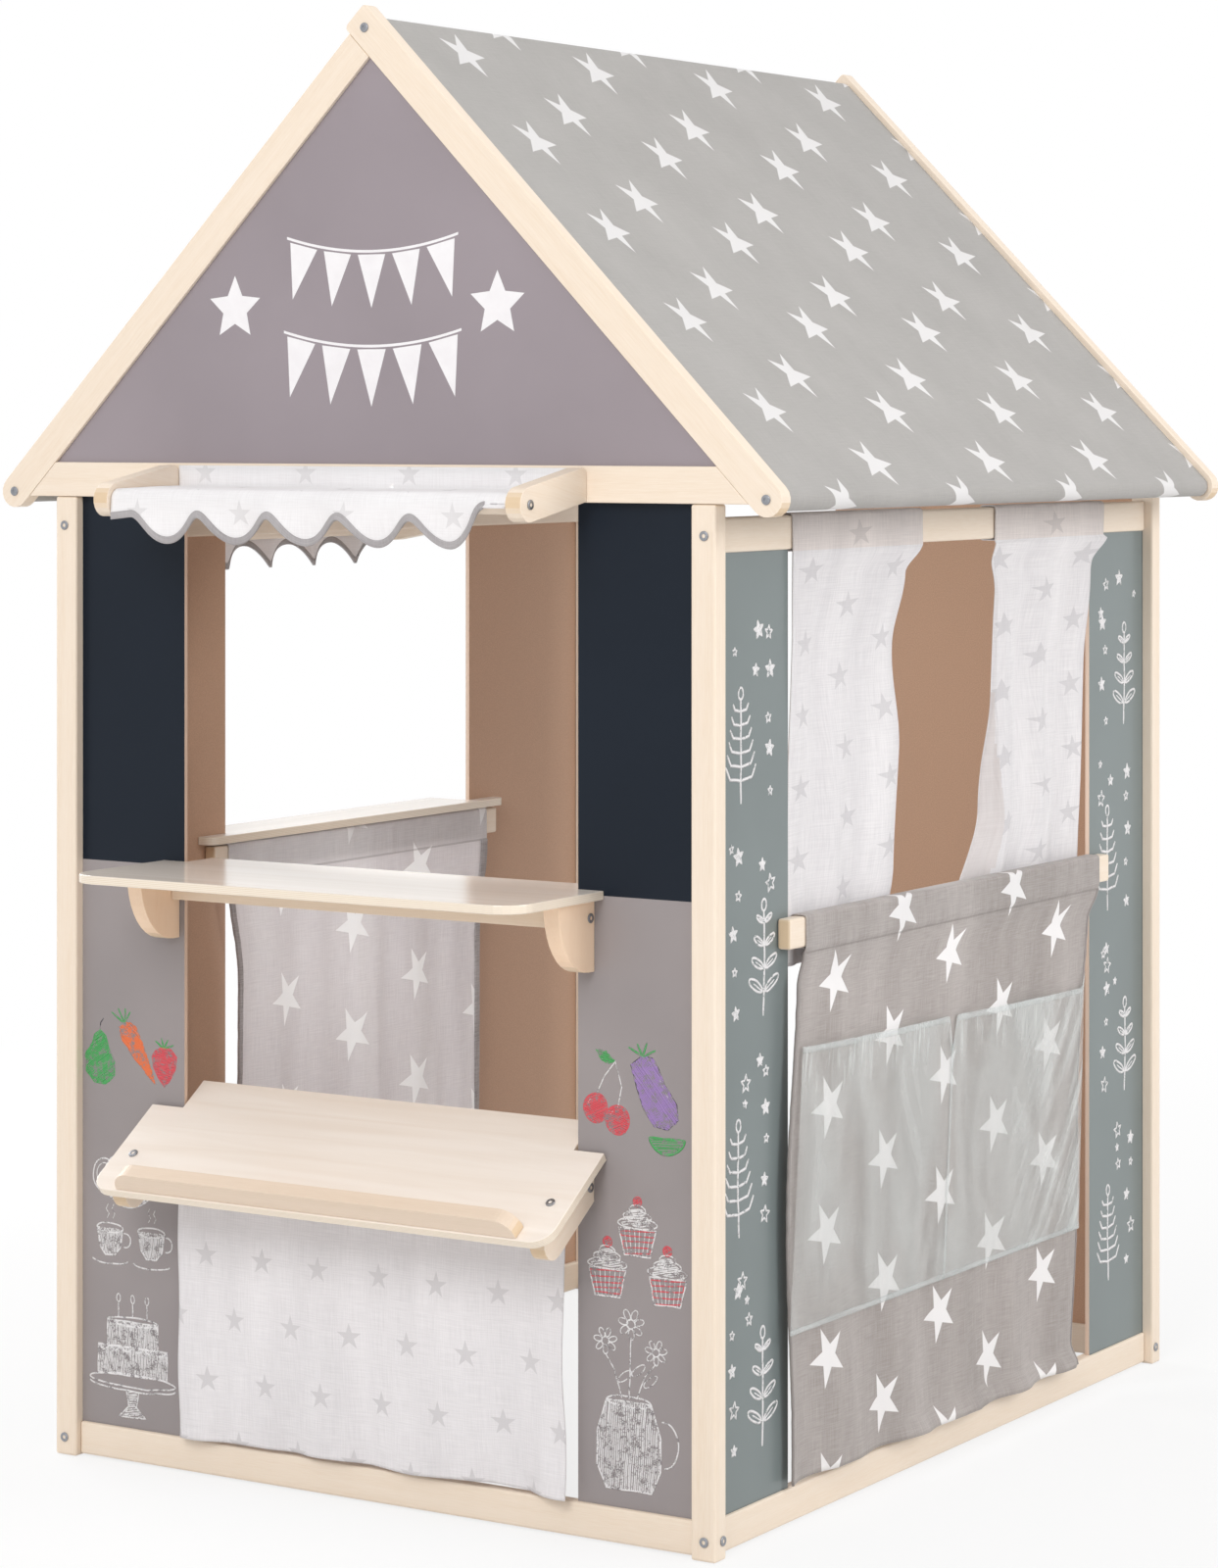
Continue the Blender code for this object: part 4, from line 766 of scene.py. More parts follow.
@dataclass
class Studio:
    """Floor, light and camera."""

    camera_place: Place = (2.5120, -3.9682, 1.1198)
    camera_turn: float = 0.5586
    lens: float = 95.881
    shift: float = -0.2318
    ambient: float = 0.64
    floor_size: float = 14.0
    middle: Place = (0.0, 0.0, 0.7)          # what the big lamps look at
    lamps: tuple[tuple[str, Place, float, float], ...] = (    # name, place, side and power in watts
        ("key", (1.0, -4.6, 3.2), 2.0, 105.0), ("side", (4.6, 0.6, 2.6), 2.0, 94.0),
        ("left", (-4.0, 0.8, 2.2), 2.6, 120.0))
    inside_spot: Place = (-0.14, -0.38, 1.0)     # a weak lamp before the window lights the inner walls
    inside_aim: Place = (0.30, 0.55, 0.60)
    inside_power: float = 2.8
    inside_colour: tuple[float, float, float] = (0.90, 0.96, 1.0)
    white: tuple[float, float, float, float] = (1.0, 1.0, 1.0, 1.0)

    def build(self) -> None:
        """Set up the studio."""
        self.set_camera()
        self.set_floor()
        self.set_world()
        for name, spot, size, power in self.lamps:
            self.hang_lamp(name, spot, self.middle, size, power)
        inside = self.hang_lamp("inside", self.inside_spot, self.inside_aim, 0.4, self.inside_power)
        inside.data.spread = radians(125)
        inside.data.color = self.inside_colour
        inside.visible_glossy = False
        bpy.context.scene.view_settings.view_transform = "Standard"

    def set_camera(self) -> None:
        """Look level at the stand from beyond its front right corner, from about 1.1 m above the floor."""
        data = bpy.data.cameras.new("camera")
        data.sensor_fit = "AUTO"
        data.sensor_width = 36.0
        data.lens = self.lens
        data.shift_y = self.shift
        camera = link(bpy.data.objects.new("camera", data))
        camera.location = self.camera_place
        camera.rotation_euler = (pi / 2, 0.0, self.camera_turn)
        bpy.context.scene.camera = camera

    def set_floor(self) -> None:
        """Lay a pale floor that keeps the shadow near the stand and runs out into the background's white."""
        start_clean()
        bpy.ops.mesh.primitive_plane_add(size=self.floor_size, location=(0.0, 0.0, -0.0005))
        floor = bpy.context.object
        floor.name = "floor"
        graph = Graph.of("white_studio_floor")
        fade = graph.remap(graph.vector("LENGTH", graph.own()).outputs["Value"], 0.8, 3.0, 0.80, 1.0)
        white = graph.add("Emission", {"Color": self.white, "Strength": 1.0})
        graph.finish({"Base Color": "#e6e5e4", "Roughness": 0.9, "Specular IOR Level": 0.0})
        both = graph.add("MixShader", {0: graph.math("MULTIPLY", fade, graph.seen()),
                                       1: graph.tree.nodes["Principled BSDF"], 2: white})
        graph.feed(graph.tree.nodes["Material Output"], {"Surface": both})
        floor.data.materials.append(graph.owner)

    def set_world(self) -> None:
        """Give even light all round, seen as white by the camera and in reflections."""
        world = bpy.data.worlds.new("studio")
        bpy.context.scene.world = world
        graph = Graph(world)
        graph.feed(graph.tree.nodes["Background"], {
            "Color": self.white, "Strength": graph.remap(graph.seen(), 0.0, 1.0, self.ambient, 1.0)})

    def hang_lamp(self, name: str, spot: Place, aim: Place, size: float, power: float) -> bpy.types.Object:
        """Hang a square lamp that the camera doesn't see.

        Args:
            name: Its name.
            spot: Where it hangs.
            aim: What it looks at.
            size: Its side.
            power: Its power in watts.

        Returns:
            The lamp.
        """
        lamp = bpy.data.lights.new(name, "AREA")
        lamp.size = size
        lamp.energy = power
        item = link(bpy.data.objects.new(name, lamp))
        item.location = spot
        item.rotation_euler = (Vector(aim) - Vector(spot)).to_track_quat("-Z", "Y").to_euler()
        item.visible_camera = False
        return item


Finish = LacqueredBeech | BirchPly | LacqueredBoard | ZincedSteel


@dataclass
class Woodwork:
    """The stand's own timber and boards, which keep their solids and get their finishes."""

    chalk_from: float = 0.645
    front_grey: str = "#979090"
    gable_grey: str = "#958b90"
    chalkboard: str = "#1a212b"
    side_grey: str = "#757e7e"

    def finishes(self) -> list[tuple[str, Finish]]:
        """List the finishes by pattern of the node's name; the first that fits counts.

        Returns:
            Pairs of pattern and finish.
        """
        beech, board = LacqueredBeech, LacqueredBoard
        across, deep = beech(Grain.ACROSS), beech(Grain.DEEP)
        return [
            ("counter_shelf", BirchPly(Grain.ACROSS)), ("left_ledge", BirchPly(Grain.DEEP)),
            ("display_tray", BirchPly(Grain.TRAY)),
            # painted light: the brackets get a paler, warmer beech that lifts their faces in the shade under the
            # counter
            ("counter_bracket*", beech(Grain.UPRIGHT, "painted_light_beech", "#fde3c9", "#f4d4b5")),
            # painted shade: the tray lip gets a darker beech for its shaded front face
            ("tray_lip", beech(Grain.ACROSS, "painted_shade_lip_beech", "#e6d4c2", "#dcc8b3")),
            ("front_panel*", board("front_board", (0, -1, 0), self.front_grey, self.chalkboard, self.chalk_from,
                                   specular=0.15)),
            ("front_gable_panel", board("front_gable_board", (0, -1, 0), self.gable_grey)),
            ("back_gable_panel", board("back_gable_board", (0, 1, 0), self.gable_grey)),
            ("back_panel", board("back_board", (0, 1, 0), self.side_grey)),
            ("left_panel*", board("left_board", (-1, 0, 0), self.side_grey)),
            ("right_panel*", board("right_board", (1, 0, 0), self.side_grey)),
            ("*_bolt", ZincedSteel()), ("post_*", beech(Grain.UPRIGHT)),
            ("*rafter_left", beech(Grain.RAFTER_LEFT)), ("*rafter_right", beech(Grain.RAFTER_RIGHT)),
            ("tray_bracket*", beech(Grain.TRAY_BRACKET)), ("front_awning_arm*", beech(Grain.FRONT_ARM)),
            ("left_awning_arm*", across), ("counter_stiffener", across), ("curtain_rod", across),
            ("front_awning_dowel", across), ("*_dowel", deep), ("*_bar", deep), ("left_*_rail", deep),
            ("right_*_rail", deep), ("*_rail", across), ("*_chord", across)]

    def dress(self) -> None:
        """Give every rigid node its finish."""
        finishes = self.finishes()
        made = {finish: finish.make() for finish in dict.fromkeys(finish for _, finish in finishes)}
        for name in sorted(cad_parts):
            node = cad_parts[name]
            finish = next((finish for pattern, finish in finishes if fnmatchcase(name, pattern)), None)
            if finish is None:
                LOG.info("left as it is: %s", name)
                continue
            material = made[finish]
            for slot in node.material_slots:
                slot.material = material
            LOG.info("%s: %s, %d slots", name, material.name, len(node.material_slots))


@dataclass
class CounterBatten:
    """The batten under the counter, deep enough to show below the counter's edge."""

    height: float = 0.030
    rounding: float = 0.0015

    def build(self) -> None:
        """Model it between the counter's brackets, in the plain batten's place but deeper."""
        low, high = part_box("counter_stiffener")
        start_clean()
        bpy.ops.mesh.primitive_cube_add(size=1.0, location=(*((low + high) / 2).xy, high.z - self.height / 2),
                                        scale=(high.x - low.x, high.y - low.y, self.height))
        item = bpy.context.object
        item.name = "counter_batten"
        settle(item)
        modify(item, "BEVEL", width=self.rounding, segments=2)
        item.data.materials.append(LacqueredBeech(Grain.ACROSS, "batten_beech", "#f0dfcb", "#e4cfb6").make())
        hand_over(item, nodes=["counter_stiffener"])


@dataclass
class RoofFabric:
    """One fabric from eave to eave over the ridge, wrapped round the eave dowels."""

    radius: float = 0.0114
    turn: float = radians(300)
    front: float = 0.0198
    back: float = 1.0232
    sag: float = 0.010
    steps: int = 64              # along a slope
    wrap_steps: int = 30

    def profile(self) -> list[tuple[float, float, float]]:
        """Trace the fabric's section.

        Returns:
            Points as x, z and the share of the way along a free slope, or 0 on a dowel.
        """
        left = pi / 2 + atan2(RIDGE[1] - EAVE[1], RIDGE[0] + EAVE[0])
        right = pi / 2 - atan2(RIDGE[1] - EAVE[1], EAVE[0] - RIDGE[0])
        wraps = [arc((-EAVE[0], EAVE[1]), self.radius, left + self.turn, left, self.wrap_steps),
                 arc(RIDGE, self.radius, left, right, 8),
                 arc(EAVE, self.radius, right, right - self.turn, self.wrap_steps)]
        points = [(*p, 0.0) for p in wraps[0]]
        for before, after in zip(wraps, wraps[1:]):
            points += [(*lerp(before[-1], after[0], k / self.steps), k / self.steps) for k in range(1, self.steps)]
            points += [(*p, 0.0) for p in after]
        return points

    def build(self) -> None:
        """Make the fabric with its soft sag and its tension folds."""
        points = self.profile()
        run = reached([(x, z) for x, z, _ in points])
        count = len(points) - 1
        tangent = run[count - self.wrap_steps]
        lean = atan2(RIDGE[1] - EAVE[1], EAVE[0] - RIDGE[0])

        def surface(u: float, v: float) -> Vector:
            """Give one point of the fabric.

            Args:
                u: Share of the way across, from 0 to 1.
                v: Share of the way along, from 0 to 1.

            Returns:
                The point, in stand sizes.
            """
            x, z, part = points[round(u * count)]
            y = self.front + (self.back - self.front) * v
            if not part:
                return Vector((x, y, z))
            side = 1 if x > RIDGE[0] else -1
            free = min(1.0, 6 * part, 6 * (1 - part))
            depth = self.sag * sin(pi * part) * sin(pi * v) ** 0.8
            # broad and fine tension folds run down the slope
            pulled = 0.0011 * ripple(y / 0.085, 0.4 * part, 2.0 + side) + 0.0006 * ripple(y / 0.03, 1.5 * part, 5.0)
            depth += free * pulled
            return Vector((x - side * depth * sin(lean), y, z - depth * cos(lean)))

        def flat(u: float, v: float) -> Point:
            """Give its place on the cloth: y, and how far up the right slope."""
            return (self.front + (self.back - self.front) * v, tangent - run[round(u * count)])

        printed = Cotton("roof_cotton_printed", "#aba8a5", "#a19e9b", "#e6e4e4", ROOF_STARS,
                         seams=(tangent - run[count] + 0.004, -0.030)).make()
        plain = Cotton("roof_cotton_back", "#b9b5b2", "#adaaa6").make()
        item = sew("roof_fabric_cover", count, 110, surface, flat, (printed, plain))
        hand_over(item, nodes=["roof_fabric"])


@dataclass
class Awning:
    """A scalloped awning cloth, from its hem strip on the wall over a dowel to its taped edge."""

    name: str
    wall: Matrix                 # turns across, outward and height into stand sizes
    attach: float
    wood: str                    # what the hem strip is fixed to
    width: float = 0.493
    shift: float = 0.001
    dowel_drop: float = 0.01885
    radius: float = 0.0112
    hem_lift: float = 0.0160
    hem_width: float = 0.0220
    drop: float = 0.0435
    rise: float = 0.027
    end_drop: float = 0.003
    pitch: float = 0.088
    first: float = 0.0265
    curl: float = 0.0085

    def edge_drop(self, along: float) -> float:
        """Say how far the scalloped edge hangs below the dowel's axis.

        Args:
            along: Place from the left end.

        Returns:
            The drop in metres.
        """
        crest = 0.5 + 0.5 * cos(2 * pi * (along - self.first) / self.pitch)
        rise = self.rise
        last = self.first + self.pitch * (int((self.width - self.first) / self.pitch) - 0.5)
        if along < self.first:      # the cloth starts within a scallop
            crest = 0.90 + 0.10 * along / self.first
        if along > last:            # its last edge rises to the dowel
            crest = 0.5 - 0.5 * cos(pi * min(1.0, 2 * (along - last) / self.pitch))
            rise = self.drop - self.end_drop
        return self.drop - rise * crest

    def hang(self, along: float, part: float) -> Vector:
        """Give a point of the valance in front of the dowel.

        Args:
            along: Place from the left end.
            part: Share of the way from the dowel's height to the edge.

        Returns:
            The point, in stand sizes.
        """
        drop = self.edge_drop(along)
        # each scallop curls outwards on one side and inwards on the other
        wave = sin(2 * pi * (along - self.first) / self.pitch + 0.5)
        out = AWNING_OUT + self.radius + self.curl * wave * max(0.0, part) ** 1.5 * smooth(6 * along / self.width)
        out += 0.0016 * ripple(along / 0.05, part, 3.0) * part
        z = self.attach - self.dowel_drop - drop * part
        return self.wall @ Vector((self.shift + along - self.width / 2, -out, z))

    def build(self) -> None:
        """Make the cloth and its tape."""
        skin = 0.0009
        top = self.attach + self.hem_lift
        foot = top - self.hem_width
        axis = self.attach - self.dowel_drop
        slope_foot = (AWNING_OUT, axis + self.radius)
        path = [(skin, top), (skin, foot + 0.006), (skin, foot)] + divided([(skin, foot), slope_foot], 0.005)[1:]
        path += arc((AWNING_OUT, axis), self.radius, pi / 2, 0.0, 8)[1:]
        run = reached(path)
        slope = [k for k, (out, _) in enumerate(path) if skin < out < AWNING_OUT]
        last = len(path) - 1
        drops = 18
        rows = last + drops

        def surface(u: float, v: float) -> Vector:
            """Give one point of the cloth.

            Args:
                u: Share of the way across, from 0 to 1.
                v: Share of the way along, from 0 to 1.

            Returns:
                The point, in stand sizes.
            """
            row = round(v * rows)
            along = u * self.width
            if row > last:
                return self.hang(along, (row - last) / drops)
            out, z = path[row]
            if row in slope:
                part = (out - skin) / (AWNING_OUT - skin)
                z -= sin(pi * part) * (0.0022 * sin(pi * u) + 0.0016 * ripple(along / 0.06, part, 8.0))
            return self.wall @ Vector((self.shift + along - self.width / 2, -out, z))

        def flat(u: float, v: float) -> Point:
            """Give its place on the cloth laid flat.

            Args:
                u: Share of the way across.
                v: Share of the way along.

            Returns:
                Its place on the cloth laid flat, in metres.
            """
            row = round(v * rows)
            along = u * self.width
            if row <= last:
                return (along, -run[row])
            return (along, -run[last] - self.edge_drop(along) * (row - last) / drops)

        low = -run[-1] - 0.0127
        stars = Stars((0.131, 0.074), (0.035, low), (0.1005, low + 0.037), SMALL_STARS.radius, radians(90))
        printed = Cotton(self.name + "_cotton_printed", "#f1eff0", "#e7e4e5", "#cfcccd", stars, weight=0.55,
                         seams=(-0.004, -self.hem_width + 0.003)).make()
        plain = Cotton(self.name + "_cotton_back", "#e9e5e6", "#ddd8da").make()
        cloth = sew(self.name + "_cover", 160, rows, surface, flat, (printed, plain), face_out=False)
        tape = self.build_tape()
        hand_over(cloth, nodes=[self.name + "_cloth"])

    def build_tape(self) -> bpy.types.Object:
        """Fold a narrow grey tape over the scalloped edge.

        Returns:
            The tape.
        """
        width = 0.0075

        def surface(u: float, v: float) -> Vector:
            """Give one point of the tape's middle layer; it ends where the last scallop has risen.

            Args:
                u: Share of the way across, from 0 to 1.
                v: Share of the way along, from 0 to 1.

            Returns:
                The point, in stand sizes.
            """
            along = u * (self.width - self.first)
            drop = self.edge_drop(along)
            return self.hang(along, 1.0 + (0.0012 - width * v) / drop)

        def flat(u: float, v: float) -> Point:
            """Give its place on the tape laid flat."""
            return (u * self.width * 1.1, v * width)

        grey = Cotton(self.name + "_bias_tape", "#b4b0b1", "#9d9899", thread=0.0009).make()
        tape = sew(self.name + "_tape", 200, 4, surface, flat, (grey,), thickness=0.0028)
        hand_over(tape)
        return tape


AWNINGS = (
    Awning("front_awning", Matrix.Identity(4), 1.0563, "front_gable_chord"),
    Awning("left_awning", Matrix.Translation((LEFT_WALL, LEFT_MIDDLE_Y, 0.0)) @ Matrix.Rotation(-pi / 2, 4, "Z"),
           1.0065, "left_top_rail"))


@dataclass
class FrontCurtain:
    """The cotton curtain below the display tray, its sleeve round a dowel."""

    width: float = 0.487
    rod: Point = (-0.001, 0.345)
    sleeve: float = 0.0072
    bottom: float = 0.0415
    sway: float = 0.0030
    fold: float = 0.0080
    room: Point = (-0.0095, 0.0085)    # how far the folds may reach, before and behind
    side_room: float = 0.2465

    def build(self) -> None:
        """Make the curtain with its hanging folds."""
        ring = arc(self.rod, self.sleeve, -pi / 2 + 0.35, -pi / 2 + 2 * pi - 0.12, 18)
        neck = (self.rod[0], self.rod[1] - 2.2 * self.sleeve)
        path = ring + divided([ring[-1], neck], 0.004)[1:] + divided([neck, (self.rod[0], self.bottom)], 0.0035)[1:]
        run = reached(path)
        rows = len(path) - 1

        def surface(u: float, v: float) -> Vector:
            """Give one point of the curtain.

            Args:
                u: Share of the way across, from 0 to 1.
                v: Share of the way along, from 0 to 1.

            Returns:
                The point, in stand sizes.
            """
            y, z = path[round(v * rows)]
            x = (u - 0.5) * self.width
            part = min(1.0, max(0.0, (neck[1] - z) / (neck[1] - self.bottom)))
            across = x / self.width
            # two rows of steady folds, then two of uneven ones
            wave = 0.55 * sin(2 * pi * (3.1 * across + 0.10 * part) + 0.4) + 0.30 * sin(2 * pi * 5.3 * across + 2.0)
            wave += 0.75 * ripple(x / 0.11, 1.2 * part, 1.0) + 0.35 * ripple(x / 0.035, 2.5 * part, 4.0)
            y += max(self.room[0], min(self.room[1], self.fold * wave * part ** 0.8))
            edge = smooth((abs(across) - 0.42) / 0.08) * part    # the side edges curl to the front
            y -= 0.005 * edge * (0.5 + 0.5 * sin(11.0 * part + (2.0 if across > 0 else 0.0)))
            drift = -self.sway * sin(1.5 * pi * part)
            z += 0.0015 * ripple(x / 0.09, 0.0, 9.0) * part if part > 0.9 else 0.0
            return Vector((min(self.side_room, max(-self.side_room, x + drift)), y, z))

        def flat(u: float, v: float) -> Point:
            """Give its place on the cloth: x, and the height where it hangs straight."""
            return ((u - 0.5) * self.width, self.bottom + run[-1] - run[round(v * rows)])

        # the stretched tone bands paint the light and shade of the curtain's folds
        printed = Cotton("front_curtain_cotton_printed", "#eae7e9", "#d9d6d8", "#cbc8ca", SMALL_STARS,
                         seams=(self.bottom + 0.014,), weight=0.8, tone_and_fold_bands=(0.05, 0.30)).make()
        plain = Cotton("front_curtain_cotton_back", "#eae7e8", "#dfdbdd").make()
        item = sew("front_curtain_cover", 150, rows, surface, flat, (printed, plain), face_out=False)
        hand_over(item, "front_curtain", ["front_curtain"])


@dataclass
class SideCurtain:
    """A curtain above the right bar, its sleeve round the top rail, drawn in behind the bar."""

    end: str
    width: float
    inset: tuple[Point, ...]     # how far the free edge is drawn in, down the drop
    outer: tuple[Point, ...]     # the same for the window's edge
    near: float = 0.1690
    far: float = 0.8722
    rail: tuple[float, float, float, float] = (0.3884, 0.4066, 0.9874, 1.0256)   # x low, x high, z low, z high
    bottom: float = 0.565
    x_foot: float = 0.3946
    fold: float = 0.0060
    gather: float = 0.0          # how far the sleeve is pushed along the rail
    turned: float = 0.0          # width at the foot of the corner that is turned over and shows its back, whose darker grey is partly painted shade
    turned_from: float = 0.9     # share of the columns before that corner
    turned_below: float = 0.40   # share of the drop above it
    fullness: float = 1.9        # how much narrower the print is squeezed by the folds
    room: float = 0.013          # how far the folds may reach inwards

    def build(self) -> None:
        """Make the curtain with its folds."""
        x_low, x_high, z_low, z_high = self.rail
        ring = divided(softened([(x_high - 0.0018, z_low), (x_low, z_low), (x_low, z_high), (x_high, z_high),
                                 (x_high, z_low)], 0.004), 0.006)
        last = len(ring) - 1
        drops = 110
        rows = last + drops
        run = reached(ring)
        front = self.end == "front"
        name = "curtain_" + self.end
        seed = 1.0 if front else 7.0

        def surface(u: float, v: float) -> Vector:
            """Give one point of the curtain.

            Args:
                u: Share of the way across, from 0 to 1.
                v: Share of the way along, from 0 to 1.

            Returns:
                The point, in stand sizes.
            """
            row = round(v * rows)
            if row <= last:
                x, z = ring[row]
                reach = self.width * u
                puff = 0.0008 * ripple(reach / 0.03, z / 0.05, seed) if row > last - 8 else 0.0
                reach -= self.gather * (1 - 0.4 * u)
                return Vector((x + puff, self.near + reach if front else self.far - reach, z))
            part = (row - last) / drops
            z = z_low + (self.bottom - z_low) * part
            start = eased(self.outer, part)
            stop = self.width - eased(self.inset, part)
            reach = start + (stop - start) * u
            tucked = 0.0
            pushed = self.gather * (1 - 0.4 * u) * (1 - smooth(part / 0.07))
            if self.turned:
                crease = stop - max(0.004, self.turned * (part - self.turned_below) / (1 - self.turned_below))
                beyond = (u - self.turned_from) / (1 - self.turned_from)
                reach = start + (crease - start) * u / self.turned_from if beyond < 0 else \
                    crease + (stop - crease) * beyond
                tucked = 0.0045 * smooth(beyond * 4) * smooth((part - self.turned_below) * 5)
            reach -= pushed
            y = self.near + reach if front else self.far - reach
            drawn = min(1.0, part / 0.80)            # share of the way in behind the bar
            # broad folds, uneven and finer ones, and gathers that fade out below the sleeve
            wave = 0.8 * sin(5 * pi * u + 0.6) + 0.9 * ripple(u * 5.0, 1.1 * part, seed) \
                + 0.40 * ripple(u * 12.0, 2.0 * part, seed + 2) \
                + 0.30 * ripple(u * 26.0, 3.0 * part, seed + 4) * exp(-5 * part)
            wave *= (0.45 + 0.55 * part) * min(1.0, 5 * part)
            forward = 0.9 if part > 0.72 else 1.6    # less room behind the bar's apron
            # deep inward folds are drawn in further; outward ones stop short of the bar
            depth = self.fold * (max(-1.0, wave) + 2.2 * min(0.0, wave + 1.0) if wave < 0 else min(forward, wave))
            return Vector((x_high + (self.x_foot - x_high) * drawn + max(-self.room, depth - tucked), y, z))

        def flat(u: float, v: float) -> Point:
            """Give its place on the cloth laid flat.

            Args:
                u: Share of the way across.
                v: Share of the way along.

            Returns:
                Its place on the cloth laid flat, in metres.
            """
            row = round(v * rows)
            down = run[row] if row <= last else run[last] + (z_low - self.bottom) * (row - last) / drops
            across = self.width * u / self.fullness + 0.007 * ripple(3.5 * u, down / 0.16, seed)
            return (across if front else -across, -down)

        offset = 0.020 if front else -0.012
        stars = Stars((0.108, 0.074), (offset, -0.128), (offset + 0.054, -0.165), 0.0155, radians(96))
        printed = Cotton(name + "_cotton_printed", "#e2dfe0", "#cfccce", "#b6b3b6", stars,
                         # painted light: over gives the cloth above the rail the warm tint of light off the wood
                         seams=(-run[last] - 0.002,), weight=0.50, over="#fdf6f0", over_from=-run[last],
                         # the stretched tone bands paint the light and shade of the curtain's folds
                         tone_and_fold_bands=(0.035, 0.30)).make()
        # the back's own grey, darkened to paint the shade on the corner that is turned from the light
        plain = Cotton(name + "_cotton_back", "#d2cccb", "#c6bfbe").make()
        item = sew(name + "_cover", 90, rows, surface, flat, (printed, plain), face_out=not front)
        # the turned corner takes the back's darker grey as painted shade
        if self.turned:
            column = self.turned_from * self.width / self.fullness
            cloth_map = item.data.uv_layers["UVMap"].data
            for face in item.data.polygons:
                if face.material_index == 0 and face.center.z < self.bottom + 0.6 * (z_low - self.bottom) \
                        and sum(-cloth_map[k].uv.x for k in face.loop_indices) / 4 > column:
                    face.material_index = 1
        hand_over(item, name, [name])


SIDE_CURTAINS = (
    SideCurtain("front", width=0.281, outer=((0.0, 0.0), (1.0, 0.0)),
                inset=((0.0, 0.0), (0.07, 0.036), (0.25, 0.060), (0.52, 0.034), (0.80, 0.036), (1.0, 0.062))),
    SideCurtain("back", width=0.267, outer=((0.0, -0.012), (0.10, 0.004), (0.35, 0.018), (1.0, 0.024)),
                inset=((0.0, 0.004), (0.14, 0.024), (0.45, 0.026), (0.70, 0.010), (1.0, -0.054)),
                gather=0.030, turned=0.080))


